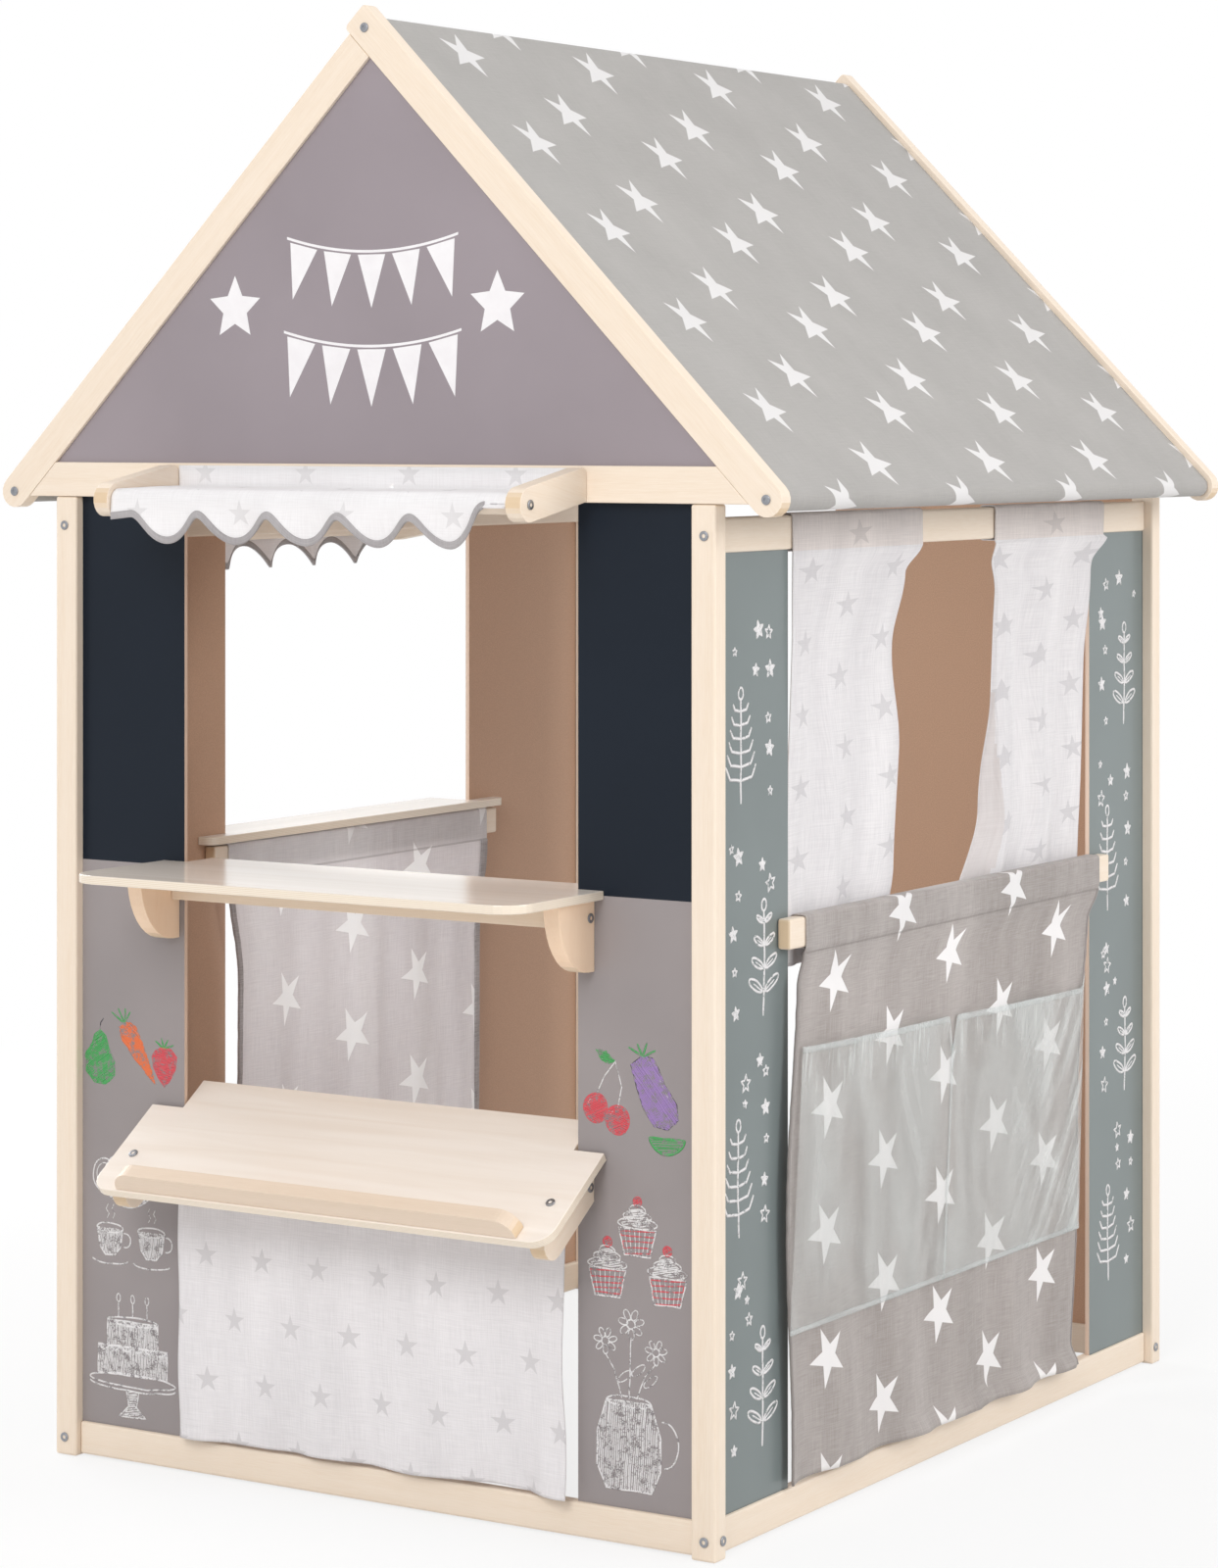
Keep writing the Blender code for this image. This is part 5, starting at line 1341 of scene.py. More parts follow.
@dataclass
class Apron:
    """A grey cotton apron: a sleeve round a bar, and the cloth that hangs below it."""

    name: str
    bar: tuple[float, float, float, float]       # x low, x high, z low, z high
    sleeve: Point                                # y of its two ends, behind the bar
    flare: Point                                 # the same before the bar
    apron: Point                                 # the same well below the seam
    hang_x: float
    bottom: float
    ground: str
    shade: str
    tape: tuple[float, float]                    # width of the bound edges, front and back
    tape_grey: str
    drift: tuple[tuple[Point, ...], tuple[Point, ...]] = (((0.0, 0.0),), ((0.0, 0.0),))    # edges, down the drop
    curl: float = 0.0            # how far the foot turns outwards over the rail
    fold: float = 0.0075
    bend: float = 0.0118         # height below the seam over which the cloth bends
    settle: float = 0.22         # share of the drop by which the cloth has left the sleeve's width
    seed: float = 3.0
    stars: Stars = APRON_STARS
    through: float = 0.5
    print_shift: float = 0.0
    print: str = "#edeaea"

    def trace(self) -> None:
        """Trace the cloth's section: round the bar, to the seam under it, and down."""
        x_low, x_high, z_low, z_high = (side + CLOTH * way for side, way in zip(self.bar, (-1, 1, -1, 1)))
        self.seam = self.bar[2] - 0.006
        ring = divided(softened([(self.hang_x - 0.0018, z_low), (x_low, z_low), (x_low, z_high), (x_high, z_high),
                                 (x_high, z_low), (self.hang_x, self.seam)], 0.0035), 0.006)
        self.last = len(ring) - 1
        self.path = ring + divided([(self.hang_x, self.seam), (self.hang_x, self.bottom)], 0.005)[1:]
        self.run = reached(self.path)
        self.rows = len(self.path) - 1

    def surface(self, u: float, v: float) -> Vector:
        """Give one point of the cloth.

        Args:
            u: Share of the way across, from 0 to 1.
            v: Share of the way along, from 0 to 1.

        Returns:
            The point, in stand sizes.
        """
        row = round(v * self.rows)
        x, z = self.path[row]
        along = self.flare[0] + (self.flare[1] - self.flare[0]) * u
        if row <= self.last:
            behind = self.sleeve[0] + (self.sleeve[1] - self.sleeve[0]) * u
            gathered = 0.0005 * ripple(along / 0.012, z / 0.05, self.seed) * (row > self.last - 12)
            return Vector((x + gathered, behind + (along - behind) * smooth((x - self.bar[0] - 0.002) / 0.005), z))
        part = (self.seam - z) / (self.seam - self.bottom)
        # below the seam the cloth leaves the sleeve's width, drifts aside and narrows a little halfway down
        low, high = (edge + eased(pairs, part) for edge, pairs in zip(self.apron, self.drift))
        waist = 1.0 - 0.010 * sin(pi * part)
        hung = (low + high) / 2 + (high - low) * (u - 0.5) * waist
        y = along + (hung - along) * smooth(part / self.settle)
        # steady valleys behind the cloth's plane, made uneven by a broad and a fine ripple
        valley = 0.5 - 0.5 * cos(11 * pi * u + 1.6 * sin(2.5 * part + 3 * u))
        valley += 0.45 * ripple(u * 7, 1.5 * part, self.seed) + 0.20 * ripple(u * 19, 3.5 * part, self.seed + 1)
        depth = self.fold * max(0.0, min(1.4, valley)) * (0.30 + 0.70 * part) * smooth(5 * part)
        z += 0.0018 * ripple(u * 6, 0.0, self.seed) * smooth((part - 0.85) / 0.15)
        curl = self.curl * smooth((part - 0.955) / 0.045) * smooth(4 * u - 0.9) * (1 + 0.3 * ripple(u * 9, 0.0, 2.0))
        return Vector((x - depth + curl, y, z))

    def flat(self, u: float, v: float) -> Point:
        """Give its place on the cloth: y, and the height where it hangs.

        Args:
            u: Share of the way across.
            v: Share of the way along.

        Returns:
            Its place on the cloth laid flat, in metres.
        """
        low, high = self.apron
        return (low + (high - low) * u - self.print_shift,
                self.bottom + self.run[-1] - self.run[round(v * self.rows)])

    def carry(self, item: bpy.types.Object) -> None:
        """Bake a piece's transform into its mesh."""
        place(self.hang_x, 0.0, self.seam)
        place(self.hang_x, 0.0, self.seam - self.bend)
        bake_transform(item)

    def build(self) -> None:
        """Make the sleeve and apron as one cloth that turns at the seam, and bind its two edges."""
        self.trace()
        # the stretched tone bands paint the light and shade of the apron's folds
        printed = Cotton(self.name + "_cotton_printed", self.ground, self.shade, self.print, self.stars,
                         through=self.through, weight=0.95,
                         # painted shade: crease darkens the crease along the seam under the bar
                         tone_and_fold_bands=(0.07, 0.40), crease=0.35,
                         seams=(self.seam, self.bottom + 0.012)).make()
        plain = Cotton(self.name + "_cotton_back", self.ground, self.shade, through=self.through).make()
        item = sew(self.name + "_cover", 170, self.rows, self.surface, self.flat, (printed, plain),
                   face_out=False)
        self.carry(item)
        binding = Cotton(self.name + "_bound_edge", self.tape_grey, self.shade, thread=0.0009).make()
        share = self.last / self.rows
        for end, width in zip(("front", "back"), self.tape):
            reach = width / (self.apron[1] - self.apron[0])

            def strip(u: float, v: float, end: str = end, reach: float = reach) -> Vector:
                """Give one point of the binding, from the seam down.

                Args:
                    u: Share of the way across, from 0 to 1.
                    v: Share of the way along, from 0 to 1.
                    end: Which end's binding it is.
                    reach: The binding's width as a share of the cloth's.

                Returns:
                    The point, in stand sizes.
                """
                across = reach * u - 0.0015 if end == "front" else 1.0015 - reach * u
                hem = 0.0004 * ripple(40 * v, 0.0, self.seed)
                return self.surface(across, share + (1 - share) * v) + Vector((hem, 0.0, 0.0))

            def laid(u: float, v: float, width: float = width) -> Point:
                """Give its place on the binding laid flat."""
                return (u * width, v * (self.run[-1] - self.run[self.last]))

            tape = sew(self.name + "_" + end + "_edge", 4, self.rows - self.last, strip, laid, (binding,),
                       thickness=0.0026)
            self.carry(tape)
        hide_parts(self.name, self.name + "_sleeve")


RIGHT_ENDS = (0.1765, 0.8665)    # of the right apron, along its bar
APRONS = (
    Apron("right_apron", bar=(0.4018, 0.4168, 0.5855, 0.6165), sleeve=RIGHT_ENDS, flare=RIGHT_ENDS, apron=RIGHT_ENDS,
          hang_x=0.4156, bottom=0.042, ground="#b0a9a6", shade="#948d89", tape=(0.0035, 0.0035),
          tape_grey="#918a88", curl=0.010, settle=0.06, print_shift=0.0088,
          drift=(((0.0, -0.012), (0.5, -0.032), (1.0, -0.018)), ((0.0, -0.024), (0.5, -0.042), (1.0, -0.060)))),
    # its greys and print are paler than the right apron's: painted light for the daylight that shines through it from
    # outside
    Apron("left_apron", bar=(-0.3962, -0.3812, 0.6073, 0.6383), sleeve=(0.2800, 0.7730), flare=(0.2625, 0.7890),
          apron=(0.2830, 0.7760), hang_x=-0.3800, bottom=0.060, ground="#dedadb", shade="#cac5c7",
          tape=(0.008, 0.013), tape_grey="#8a8280", seed=11.0, stars=LEFT_APRON_STARS, through=0.75,
          print="#fdfbfc"))


@dataclass
class Pockets:
    """Two clear pockets side by side on the right apron, with taped upper edge, middle seam and foot."""

    back_x: float = 0.4165
    middle: float = 0.5105
    half: float = 0.3347
    top: float = 0.478
    bottom: float = 0.196
    depth: float = 0.0062
    notch: float = 0.036         # how far down the two pockets are apart at the middle
    hem: float = 0.024           # share of the height under the upper tape
    foot_hem: float = 0.020      # the same under the foot's tape
    weld: float = 0.007          # share of the width under the middle tape

    def bulge(self, u: float, v: float) -> Vector:
        """Give a point of the film.

        Args:
            u: Share of the way across, from 0 to 1.
            v: Share of the way along, from 0 to 1.

        Returns:
            The point, in stand sizes.
        """
        # each pocket bellies out on its own and is flat along its welds
        pocket = (2 * u) % 1.0 if u < 1.0 else 1.0
        belly = sin(pi * pocket) ** 0.6 if 0.0 < pocket < 1.0 else 0.0
        gather = 0.0006 * ripple(u * 60, 1.5 * v, 4.0) * exp(-6 * v)
        crease = 0.0007 * ripple(u * 16 + 2 * v, 2.0 * v, 6.0)
        out = self.depth * belly * (0.55 + 0.45 * (1 - v)) * smooth((1 - v) * 9) + (gather + crease) * belly
        # the upper edge falls towards the back, is notched between the pockets and rises at its last corner
        top = self.top + 0.006 - 0.014 * u - self.notch * max(0.0, 1 - abs(u - 0.5) / 0.014) \
            + 0.018 * max(0.0, (u - 0.985) / 0.015)
        z = top + (self.bottom - top) * v
        # the film is drawn to the front, most of all at its foot
        y = self.middle + self.half * (2 * u - 1) - (0.004 + 0.011 * u + 0.027 * v * (1 - 0.4 * u))
        return Vector((self.back_x + 0.0006 + max(0.0, out), y, z))

    def build(self) -> None:
        """Make the film and its tapes."""
        span = Vector((2 * self.half, self.top - self.bottom))

        def flat(u: float, v: float) -> Point:
            """Give its place on the film laid flat."""
            return (span.x * u, -span.y * v)

        film = sew("right_pockets_film", 150, 70, self.bulge, flat, (ClearFilm().make(),), thickness=0.0004,
                   face_out=False)
        milk = ClearFilm("pvc_film_doubled", "#e6eceb", (0.16, 0.34), 0.12).make()
        tapes = [sew("right_pockets_" + name + "_tape", columns, rows, surface, flat, (milk,), thickness=thickness,
                     face_out=False)
                 for name, columns, rows, thickness, surface in (
                     ("top", 150, 3, 0.0009,
                      lambda u, v: self.bulge(u, self.hem * v) + Vector((0.0003, 0, 0.0008))),
                     ("foot", 150, 3, 0.0009,
                      lambda u, v: self.bulge(u, 1 - self.foot_hem + self.foot_hem * v) + Vector((0.0003, 0, 0))),
                     ("middle", 3, 60, 0.0008,
                      lambda u, v: self.bulge(0.5 - self.weld / 2 + self.weld * u, v) + Vector((0.0002, 0, 0))))]
        hand_over(film, "right_apron", ["right_pockets"])
        for tape in tapes:
            hand_over(tape, "right_apron")


@dataclass
class Bolts:
    """Button-head bolts with hex sockets, modelled once and copied onto every fixing."""

    radius: float = 0.0050
    height: float = 0.0016
    socket: float = 0.0023
    rim: float = 0.0006
    levels: tuple[float, float] = (0.0195, 1.0065)     # of a post's two bolts
    inset: float = 0.0125        # from a post's outer side to its bolts in front
    side_inset: float = 0.0145   # from its front to the bolt in its side
    middle: float = -0.0025      # of the counter and the tray
    bracket: Point = (0.2705, 0.0034)                  # x and y of a bracket's bolts, from that middle
    bracket_levels: tuple[float, float] = (0.623, 0.354)
    tray: Place = (0.2615, 0.0117, 0.389)              # upper end of the tray's face, from that middle
    tray_bolt: tuple[float, float] = (0.075, 0.009)    # how far down the face from there, and how far off it
    tilt: float = radians(34)    # of the tray
    arm: float = 0.2655          # outer face of an awning's arm, from the awning's middle
    arm_shift: float = 0.001
    front_arm_level: float = 1.0374
    left_arm_level: float = 0.98765

    def model(self) -> bpy.types.Object:
        """Model one head, its face towards +Z and its seat at the origin.

        Returns:
            The head.
        """
        start_clean()
        bpy.ops.mesh.primitive_cylinder_add(vertices=28, radius=self.radius, depth=self.height,
                                            location=(0, 0, self.height / 2))
        head = bpy.context.object
        modify(head, "BEVEL", width=self.rim, segments=3, limit_method="ANGLE")
        start_clean()
        bpy.ops.mesh.primitive_cylinder_add(vertices=6, radius=self.socket, depth=0.004,
                                            location=(0, 0, self.height + 0.0008))
        key = bpy.context.object
        modify(head, "BOOLEAN", operation="DIFFERENCE", object=key)
        bpy.data.objects.remove(key, do_unlink=True)
        pick(head)
        bpy.ops.object.shade_smooth_by_angle(angle=radians(35))
        settle(head)
        return head

    def spots(self) -> list[tuple[Place, Place]]:
        """List every fixing as its place on the face and the way it faces.

        Returns:
            Pairs of place and direction.
        """
        low = self.levels[0]
        found = []
        for sign in (-1, 1):
            aside = (sign, 0, 0)
            for face, way in ((0.0, -1), (BODY_DEPTH, 1)):
                found += [((sign * (HALF_WIDTH - self.inset), face, z), (0, way, 0)) for z in self.levels]
                found.append(((sign * HALF_WIDTH, face - way * self.side_inset, low), aside))
                found.append(((sign * EAVE[0], face, EAVE[1]), (0, way, 0)))
            found += [((self.middle + sign * self.bracket[0], self.bracket[1], z), aside)
                      for z in self.bracket_levels]
            found.append(((self.arm_shift + sign * self.arm, -AWNING_OUT, self.front_arm_level), aside))
            found.append(((LEFT_WALL - AWNING_OUT, LEFT_MIDDLE_Y - self.arm_shift + sign * self.arm,
                           self.left_arm_level), (0, sign, 0)))
        found += [((RIDGE[0], face, RIDGE[1]), (0, way, 0)) for face, way in ((0.0, -1), (BODY_DEPTH, 1))]
        slope, rise = cos(self.tilt), sin(self.tilt)
        end, y, z = self.tray
        down, off = self.tray_bolt
        found += [((self.middle + sign * end, y - off * rise - down * slope, z - down * rise), (0, -rise, slope))
                  for sign in (-1, 1)]
        return found

    def build(self) -> None:
        """Copy the head to every fixing."""
        head = self.model()
        zinc = ZincedSteel("bolt_steel").make()
        for number, (spot, way) in enumerate(self.spots()):
            copy = link(bpy.data.objects.new("bolt_head_" + format(number, "02d"), head.data.copy()))
            turn = Vector((0, 0, 1)).rotation_difference(Vector(way)).to_matrix().to_4x4()
            copy.data.transform(Matrix.Translation(Vector(spot) + ORIGIN) @ turn)
            copy.data.materials.append(zinc)
            hand_over(copy)
        bpy.data.objects.remove(head, do_unlink=True)


class Hue(Enum):
    """The chalks of the drawings, each with its colour."""

    WHITE = "#e9e7e8"
    GREEN = "#4fa860"
    ORANGE = "#e8784a"
    RED = "#dc5660"
    PURPLE = "#a184bd"
    DARK = "#3f3b45"


@dataclass
class Drawing:
    """One chalk drawing: strokes in millimetres from its middle, each with its chalk and width."""

    name: str
    seed: int
    size: float = 1.0            # how much the drawing is enlarged on its board
    weight: float = 1.0          # how much its lines are thickened
    shake: float = 0.45          # unevenness of the hand
    reach: float = 14.0          # length of one such unevenness

    def __post_init__(self) -> None:
        """Start an empty drawing with its own repeatable hand."""
        self.hand = Random(self.seed)
        self.strokes: list[tuple[Hue, float, Stroke]] = []

    def line(self, points: Stroke, chalk: Hue = Hue.WHITE, width: float = 1.5) -> None:
        """Draw a line through points, with a slightly unsteady hand.

        Args:
            points: The line's points.
            chalk: The chalk.
            width: Width of the line.
        """
        fine = divided(points, 2.5)
        shift = self.hand.uniform(0, 50)
        self.strokes.append((chalk, width, [
            (x + self.shake * ripple(x / self.reach, y / self.reach, shift),
             y + self.shake * ripple(x / self.reach, y / self.reach, shift + 9)) for x, y in fine]))

    def loop(self, centre: Point, size: Point, chalk: Hue = Hue.WHITE, width: float = 1.5,
             start: float = 0.0, stop: float = 370.0, turn: float = 0.0) -> Stroke:
        """Draw an ellipse or part of one.

        Args:
            centre: Its middle.
            size: Its two radii.
            chalk: The chalk.
            width: Width of the line.
            start: First angle, in degrees.
            stop: Last angle.
            turn: Turn of the whole, in degrees.

        Returns:
            The points before the hand's unevenness, to hatch or to go on from.
        """
        points = []
        for k in range(37):
            angle = radians(start + (stop - start) * k / 36)
            x, y = size[0] * cos(angle), size[1] * sin(angle)
            tilt = radians(turn)
            points.append((centre[0] + x * cos(tilt) - y * sin(tilt), centre[1] + x * sin(tilt) + y * cos(tilt)))
        if width:
            self.line(points, chalk, width)
        return points

    def hatch(self, outline: Stroke, chalk: Hue = Hue.WHITE, gap: float = 1.6, lean: float = 20.0,
              width: float = 1.2, skip: float = 0.0) -> None:
        """Fill an outline with one back-and-forth scribble.

        Args:
            outline: A closed outline.
            chalk: The chalk.
            gap: Distance between the lines.
            lean: Angle of the lines, in degrees.
            width: Width of the line.
            skip: Share of the lines left out.
        """
        c, s = cos(radians(lean)), sin(radians(lean))
        turned = [(x * c + y * s, y * c - x * s) for x, y in outline]
        level = min(y for _, y in turned) + gap * 0.6
        top = max(y for _, y in turned)
        run: Stroke = []
        flip = False
        while level < top:
            hits = sorted(x1 + (level - y1) / (y2 - y1) * (x2 - x1)
                          for (x1, y1), (x2, y2) in zip(turned, turned[1:] + turned[:1])
                          if (y1 > level) != (y2 > level))
            pairs = list(zip(hits[::2], hits[1::2]))
            if len(pairs) != 1 or self.hand.random() < skip:
                if len(run) > 1:
                    self.line(run, chalk, width)
                run = []
            for low, high in pairs:
                inset = min(1.2, (high - low) / 4)
                ends = [(low + self.hand.uniform(0, inset), level + self.hand.uniform(-0.2, 0.2) * gap),
                        (high - self.hand.uniform(0, inset), level + self.hand.uniform(-0.2, 0.2) * gap)]
                ends = ends[::-1] if flip else ends
                back = [(x * c - y * s, x * s + y * c) for x, y in ends]
                if len(pairs) == 1:
                    run += back
                else:
                    self.line(back, chalk, width)
            flip = not flip
            level += gap
        if len(run) > 1:
            self.line(run, chalk, width)

    def put(self, plane: Matrix, chalks: dict[Hue, bpy.types.Material]) -> None:
        """Lay the drawing on a board.

        Args:
            plane: Turns the drawing's x, y and height off the board, in millimetres, into stand sizes.
            chalks: The chalks' materials.
        """
        for chalk in Hue:
            lines = [(width * self.weight, points) for colour, width, points in self.strokes if colour is chalk]
            if not lines:
                continue
            curve = bpy.data.curves.new(self.name, "CURVE")
            curve.dimensions = "3D"
            curve.bevel_depth = 0.5
            curve.bevel_resolution = 0
            curve.use_fill_caps = True
            flattened = Matrix.Diagonal((0.001 * self.size, 0.001 * self.size, PRINT, 1.0))
            lay_curve(self.name + "_" + chalk.name.lower(), curve, lines, plane @ flattened, chalks[chalk])
        LOG.info("%s: %d strokes", self.name, len(self.strokes))


@dataclass
class FrontDrawings:
    """The chalk drawings beside the serving window: garden produce above, tea things and cakes below."""

    face: float = 0.0120
    left_x: float = -0.3190
    right_x: float = 0.3180

    def garden(self) -> Drawing:
        """Draw a pear, a carrot and a strawberry.

        Returns:
            The drawing.
        """
        d = Drawing("drawing_pear_and_carrot", 11, 1.30)
        pear = [(-50, 2), (-49, -12), (-40, -21), (-28, -22), (-19, -14), (-19, -2), (-25, 8), (-28, 18), (-34, 23),
                (-40, 19), (-43, 10)]
        d.hatch(pear, Hue.GREEN, 1.15, 35, 1.5)
        d.line(pear + pear[:1], Hue.GREEN, 1.1)
        d.line([(-34, 23), (-33, 29), (-30, 33)], Hue.DARK, 1.0)
        carrot = [(-14, 27), (-6, 32), (3, 29), (10, 16), (19, -4), (24, -19), (12, -8), (-2, 6), (-12, 17)]
        d.hatch(carrot, Hue.ORANGE, 1.15, -40, 1.5)
        for a, b in (((-8, 18), (-2, 21)), ((2, 11), (7, 13)), ((9, 2), (13, 4))):
            d.line([a, b], Hue.DARK, 0.7)
        for tip in ((-22, 38), (-15, 42), (-8, 43), (-2, 40)):
            d.line([(-8, 30), lerp((-8, 30), tip, 0.5), tip], Hue.GREEN, 1.6)
        berry = [(24, 10), (31, 13), (40, 12), (46, 6), (45, -4), (39, -14), (33, -19), (27, -12), (22, -3), (21, 5)]
        d.hatch(berry, Hue.RED, 1.2, 15, 1.4)
        d.line(berry + berry[:1], Hue.RED, 1.0)
        for x, y in ((28, 4), (35, 6), (41, 2), (31, -4), (38, -5), (34, -12)):
            d.line([(x, y), (x + 1.2, y - 1.8)], Hue.WHITE, 0.8)
        for tip in ((24, 18), (30, 21), (37, 20), (43, 16)):
            d.line([(33, 12), tip], Hue.GREEN, 1.7)
        return d

    def teapot(self) -> Drawing:
        """Draw a round teapot and two cups, scribbled in.

        Returns:
            The drawing.
        """
        d = Drawing("drawing_teapot", 12, 1.28)
        body = d.loop((-4, 22), (27, 23), width=1.3)
        d.hatch(body, gap=1.5, lean=72)
        d.line([(-18, 42), (-10, 48), (2, 48), (10, 42)])
        d.loop((-4, 52), (3.5, 3.5))
        d.line([(21, 28), (31, 33), (37, 45), (43, 46)])
        d.line([(22, 14), (33, 20), (39, 32), (44, 42)])
        d.loop((-30, 24), (12, 14), start=60, stop=300)
        d.loop((-30, 24), (8, 10), start=60, stop=300, width=1.0)
        for x in (-24, 20):
            cup = [(x - 14, -20), (x + 14, -20), (x + 11, -36), (x + 5, -43), (x - 5, -43), (x - 11, -36)]
            d.loop((x, -20), (14, 4))
            d.line(cup[1:] + cup[:1])
            d.hatch(cup, gap=1.5, lean=80)
            d.loop((x + 16, -29), (6, 6), start=-100, stop=100)
            d.loop((x, -47), (19, 3.5), start=180, stop=360)
        for x in (-27, -21, 17, 23):
            d.line([(x, -12), (x + 2, -8), (x - 1, -4), (x + 1, 0)], width=0.9)
        return d

    def cake(self) -> Drawing:
        """Draw a layered cake on a footed stand.

        Returns:
            The drawing.
        """
        d = Drawing("drawing_cake_stand", 13, 1.38)
        for low, high, half in ((-14, 8, 34), (8, 28, 25)):
            tier = [(-half, low), (half, low), (half, high), (-half, high)]
            d.line(tier + tier[:1])
            d.hatch(tier, gap=1.5, lean=84)
            drip = [(-half + 2 * half * k / 24, high - 3.5 * abs(sin(pi * k / 4))) for k in range(25)]
            d.line(drip, width=1.8)
        d.loop((0, 28), (25, 3.5))
        for x in (-14, 0, 14):
            d.line([(x, 31), (x, 42)], width=1.5)
            d.loop((x, 46), (1.8, 3.2), width=1.0)
        d.loop((0, -18), (42, 5))
        d.loop((0, -21), (42, 5), start=180, stop=360)
        d.line([(-6, -26), (-4, -38), (-13, -46), (13, -46), (4, -38), (6, -26)])
        d.hatch([(-5, -26), (5, -26), (4, -38), (11, -45), (-11, -45), (-4, -38)], gap=1.6, lean=10)
        return d

    def orchard(self) -> Drawing:
        """Draw two cherries, an aubergine and a slice of lime.

        Returns:
            The drawing.
        """
        d = Drawing("drawing_cherries_and_aubergine", 14, 1.28)
        for x, y in ((-38, -12), (-18, -20)):
            fruit = d.loop((x, y), (11, 11.5), Hue.RED, 1.0)
            d.hatch(fruit, Hue.RED, 1.2, 25, 1.4)
            d.line([(x, y + 10), (x + 4 + (x < -20) * 4, y + 26), (-20, 26)], Hue.WHITE, 1.1)
            d.loop((x - 3.5, y + 3.5), (3, 3), Hue.WHITE, 0.9, 100, 190)
        leaf = [(-20, 26), (-28, 33), (-39, 34), (-34, 26), (-26, 23)]
        d.hatch(leaf, Hue.GREEN, 1.3, 20, 1.4)
        plum = [(-6, 24), (4, 32), (14, 31), (20, 22), (27, 8), (36, -4), (37, -16), (28, -24), (15, -22), (6, -10),
                (0, 6)]
        d.hatch(plum, Hue.PURPLE, 1.2, -50, 1.5)
        d.line(plum + plum[:1], Hue.DARK, 0.8)
        d.line([(18, 20), (26, 5), (31, -4)], Hue.WHITE, 0.9)
        for tip in ((-8, 38), (0, 41), (9, 42), (17, 37)):
            d.line([(5, 31), tip], Hue.GREEN, 1.9)
        lime = d.loop((27, -26), (17, 17), Hue.GREEN, 2.2, 195, 345)
        d.line([lime[0], lime[-1]], Hue.GREEN, 1.2)
        d.hatch(lime, Hue.GREEN, 1.7, 5, 1.2)
        return d

    def cupcakes(self) -> Drawing:
        """Draw three cupcakes in paper cases, with red cherries.

        Returns:
            The drawing.
        """
        d = Drawing("drawing_cupcakes", 15, 1.35)
        for x, y in ((-26, -14), (26, -16), (0, 18)):
            case = [(x - 16, y), (x + 16, y), (x + 11, y - 20), (x - 11, y - 20)]
            d.line(case + case[:1])
            for k in range(1, 7):
                d.line([lerp(case[0], case[1], k / 7), lerp(case[3], case[2], k / 7)], width=0.9)
            d.hatch(case, Hue.RED, 4.2, 4, 1.2)
            for level, half in ((4, 17), (9, 12), (13.5, 7)):
                d.loop((x, y + level), (half, 4), width=1.2)
            d.hatch([(x - 15, y + 2), (x + 15, y + 2), (x + 5, y + 15), (x - 5, y + 15)], gap=1.6, lean=12)
            cherry = d.loop((x, y + 20), (3.6, 3.6), Hue.RED, 1.3)
            d.hatch(cherry, Hue.RED, 1.3, 30, 1.3)
        return d

    def flowers(self) -> Drawing:
        """Draw a tall jug of flowers, its side scribbled in zigzags.

        Returns:
            The drawing.
        """
        d = Drawing("drawing_flower_jug", 16, 1.38)
        jug = [(-19, -2), (19, -2), (27, -26), (27, -50), (19, -66), (-19, -66), (-27, -50), (-27, -26)]
        d.line(jug + jug[:1])
        d.hatch(jug, gap=1.6, lean=86, skip=0.08)
        d.loop((0, -2), (19, 4))
        d.loop((29, -30), (13, 17), start=-85, stop=95)
        for x, y, size in ((-20, 40, 8.5), (2, 54, 9.5), (23, 36, 8.0)):
            d.line([(x * 0.3, 0), (x * 0.6, y * 0.5), (x, y - size)], width=1.2)
            d.loop((x, y), (size * 0.36, size * 0.36), width=1.2)
            for k in range(7):
                angle = 360 * k / 7 + 15
                middle = (x + size * 0.75 * cos(radians(angle)), y + size * 0.75 * sin(radians(angle)))
                d.loop(middle, (size * 0.42, size * 0.24), width=1.0, turn=angle)
            leaf = (x * 0.5 + 7, y * 0.4)
            d.loop(leaf, (7, 2.6), width=1.0, turn=38)
        return d

    def build(self) -> None:
        """Draw everything on the two front boards."""
        chalks = {chalk: Chalk("chalk_" + chalk.name.lower(), chalk.value).make() for chalk in Hue}
        front = Matrix.Rotation(pi / 2, 4, "X")
        for drawing, x, z in ((self.garden(), self.left_x, 0.432), (self.teapot(), self.left_x, 0.275),
                              (self.cake(), self.left_x, 0.112), (self.orchard(), self.right_x, 0.448),
                              (self.cupcakes(), self.right_x, 0.292), (self.flowers(), self.right_x - 0.010, 0.146)):
            drawing.put(Matrix.Translation((x, self.face, z)) @ front, chalks)


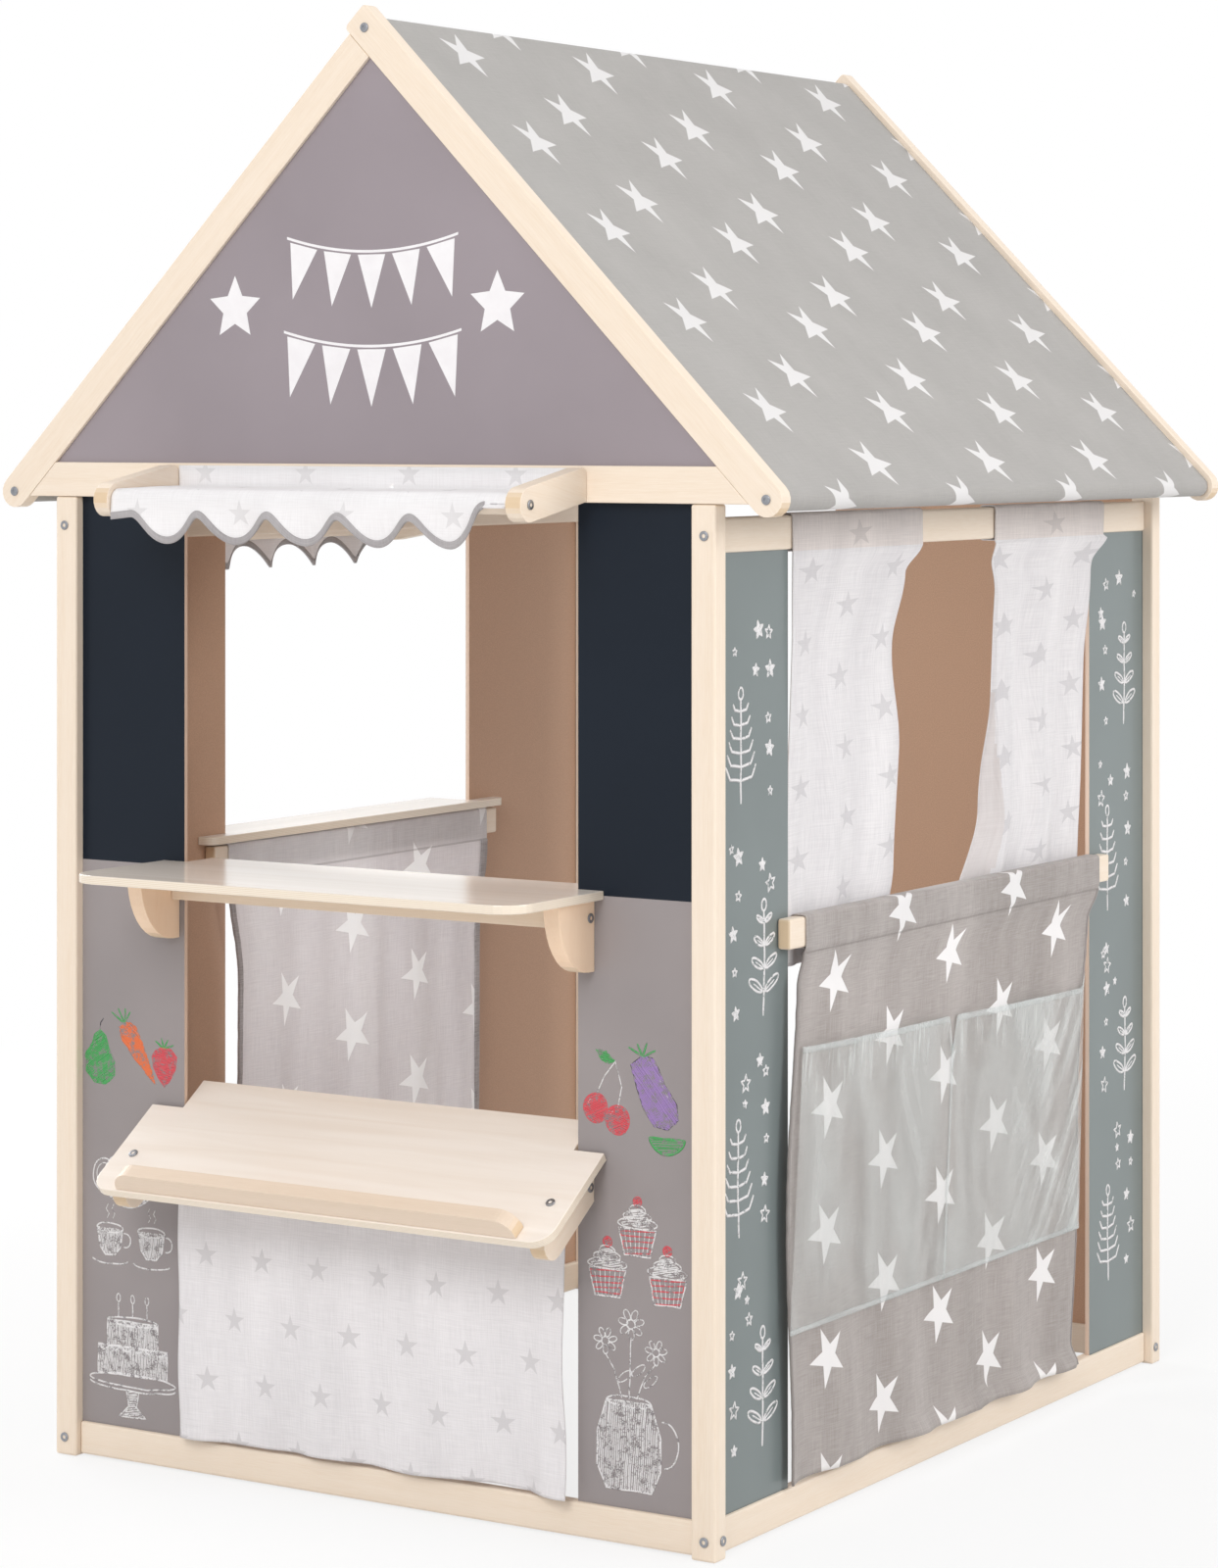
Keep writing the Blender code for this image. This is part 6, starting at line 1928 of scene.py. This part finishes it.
@dataclass
class SideDrawings:
    """White sprigs and small stars up both strips of both long sides."""

    right_face: float = 0.4015
    pitch: float = 216.0         # from sprig to sprig, in millimetres
    last: float = 860.0          # no sprig starts above this

    def sprig(self, d: Drawing, at: Point, height: float, pairs: int, round_leaves: bool) -> None:
        """Draw a leafy sprig on its stem.

        Args:
            d: The drawing it goes into.
            at: Foot of the stem.
            height: Height of the whole sprig.
            pairs: Number of leaf pairs.
            round_leaves: Whether its leaves are loops, or else open strokes.
        """
        x, y = at
        lean = d.hand.uniform(-3, 3)
        d.line([(x, y), (x + lean, y + height * 0.5), (x + lean * 0.5, y + height)], width=2.3)
        for k in range(pairs):
            share = 0.22 + 0.66 * k / (pairs - 1)
            size = 36 * (1.05 - 0.66 * share)
            root = (x + lean * min(1.0, 2 * share) * (1 - 0.3 * share), y + height * share)
            for sign in (-1, 1):
                tip = (root[0] + sign * size * 0.92, root[1] + size * 0.46)
                if round_leaves:
                    d.loop(lerp(root, tip, 0.55), (size * 0.45, size * 0.145), width=1.8,
                           turn=26 if sign > 0 else 154)
                    d.line([root, lerp(root, tip, 0.7)], width=1.2)
                else:
                    bow = (root[0] + sign * size * 0.66, root[1] + size * 0.08)
                    d.line([root, bow, tip], width=2.1)
        d.loop((x + lean * 0.5, y + height + 5), (4.6, 6.0), width=1.8)

    def star(self, d: Drawing, at: Point, size: float, filled: bool) -> None:
        """Draw a plain five-pointed star, open or scribbled in.

        Args:
            d: The drawing it goes into.
            at: Its middle.
            size: Its outer radius.
            filled: Whether it is scribbled in.
        """
        turn = d.hand.uniform(-12, 12)
        points = []
        for k in range(11):
            reach = size * (1.0 if k % 2 == 0 else 0.42)
            angle = radians(90 + turn + 36 * k)
            points.append((at[0] + reach * cos(angle), at[1] + reach * sin(angle)))
        d.line(points, width=1.5)
        if filled:
            d.hatch(points[:-1], gap=1.6, lean=30, width=1.6)

    def strip(self, name: str, seed: int, width: float) -> Drawing:
        """Draw one strip of sprigs and stars, 960 mm high.

        Args:
            name: The drawing's name.
            seed: Which repeatable hand draws it.
            width: The strip's own width in millimetres.

        Returns:
            The drawing.
        """
        d = Drawing(name, seed, weight=1.65)
        side = 1 if seed % 2 else -1
        level = 60.0 + 25 * (seed % 3)
        number = 0
        while level < self.last:
            x = side * width * 0.16 + d.hand.uniform(-3, 3)
            odd = bool((number + seed) % 2)
            self.sprig(d, (x, level), d.hand.uniform(98, 114), 4 if odd else 6, odd)
            for k in range(5):
                spot = (x - side * d.hand.uniform(48, 62), level + 12 + 38 * k + d.hand.uniform(-6, 6))
                if abs(spot[0]) < width / 2 - 10 and spot[1] < 940:
                    self.star(d, spot, (6.0, 9.6, 7.4, 5.0, 8.6)[(k + number) % 5], (k + number) % 2 == 0)
            for k in range(3):
                spot = (d.hand.uniform(-0.34, 0.34) * width, level + 132 + 20 * k)
                if spot[1] < 945:
                    self.star(d, spot, (7.0, 4.6, 9.8)[(k + number) % 3], (k + number) % 2 == 1)
            level += self.pitch
            side = -side
            number += 1
        return d

    def build(self) -> None:
        """Draw the four strips."""
        white = Hue.WHITE
        chalks = {white: Chalk("side_chalk_white", white.value, "#7f8888", 0.98).make()}
        right = Matrix(((0, 0, 1, 0), (1, 0, 0, 0), (0, 1, 0, 0), (0, 0, 0, 1)))
        left = Matrix(((0, 0, -1, 0), (-1, 0, 0, 0), (0, 1, 0, 0), (0, 0, 0, 1)))
        for name, seed, x, y, plane in (("drawing_right_front", 21, self.right_face, 0.095, right),
                                        ("drawing_right_back", 22, self.right_face, 0.948, right),
                                        ("drawing_left_front", 24, -self.right_face, 0.150, left),
                                        ("drawing_left_back", 23, -self.right_face, 0.898, left)):
            self.strip(name, seed, 146).put(Matrix.Translation((x, y, 0.030)) @ plane, chalks)


@dataclass
class GableSign:
    """Painted on the front gable: two plain stars and two rows of white pennants on strings."""

    face: float = 0.0050
    star_height: float = 1.238
    stars_x: Point = (-0.176, 0.156)
    star_radius: float = 0.0345

    def shapes(self) -> list[list[Point]]:
        """List the painted outlines, in metres from the middle of the floor line.

        Returns:
            The closed outlines.
        """
        found = []
        for x in self.stars_x:
            found.append([(x + self.star_radius * (1.0 if k % 2 == 0 else 0.47) * sin(pi * k / 5),
                           self.star_height + self.star_radius * (1.0 if k % 2 == 0 else 0.47) * cos(pi * k / 5))
                          for k in range(10)])
        for top, count, half, size in ((1.312, 5, 0.108, 0.060), (1.214, 5, 0.112, 0.064)):
            def string(x: float, top: float = top, half: float = half) -> float:
                """Give the height of the string."""
                return top - 0.016 * (1 - (x / half) ** 2)
            upper = [(half * (k / 12 - 1), string(half * (k / 12 - 1))) for k in range(25)]
            found.append(upper + [(x, z - 0.0028) for x, z in reversed(upper)])
            for k in range(count):
                middle = -half + (k + 0.5) * 2 * half / count
                reach = half / count * 0.80
                left, right = middle - reach, middle + reach
                slope = (string(right) - string(left)) / (right - left)
                found.append([(left, string(left) - 0.0050), (right, string(right) - 0.0050),
                              (middle + slope * size, string(middle) - size)])
        return found

    def build(self) -> None:
        """Paint the shapes as thin flat plates on the gable board."""
        curve = bpy.data.curves.new("gable_sign", "CURVE")
        curve.dimensions = "2D"
        curve.fill_mode = "BOTH"
        curve.extrude = PRINT
        lay_curve("gable_sign", curve, [(1.0, outline) for outline in self.shapes()],
                  Matrix.Translation((0, self.face, 0)) @ Matrix.Rotation(pi / 2, 4, "X"), WhitePaint().make(),
                  closed=True)


def main() -> None:
    """Build and dress the whole stand."""
    logging.basicConfig(level=logging.INFO, format="%(message)s")
    Studio().build()
    Woodwork().dress()
    CounterBatten().build()
    RoofFabric().build()
    LOG.info("roof fabric sewn")
    for awning in AWNINGS:
        awning.build()
        LOG.info("%s sewn", awning.name)
    FrontCurtain().build()
    LOG.info("front curtain sewn")
    for curtain in SIDE_CURTAINS:
        curtain.build()
        LOG.info("%s side curtain sewn", curtain.end)
    for apron in APRONS:
        apron.build()
        LOG.info("%s sewn", apron.name)
    Pockets().build()
    LOG.info("pockets welded")
    Bolts().build()
    LOG.info("bolts set")
    GableSign().build()
    LOG.info("gable painted")
    FrontDrawings().build()
    SideDrawings().build()


if __name__ == "__main__":
    main()
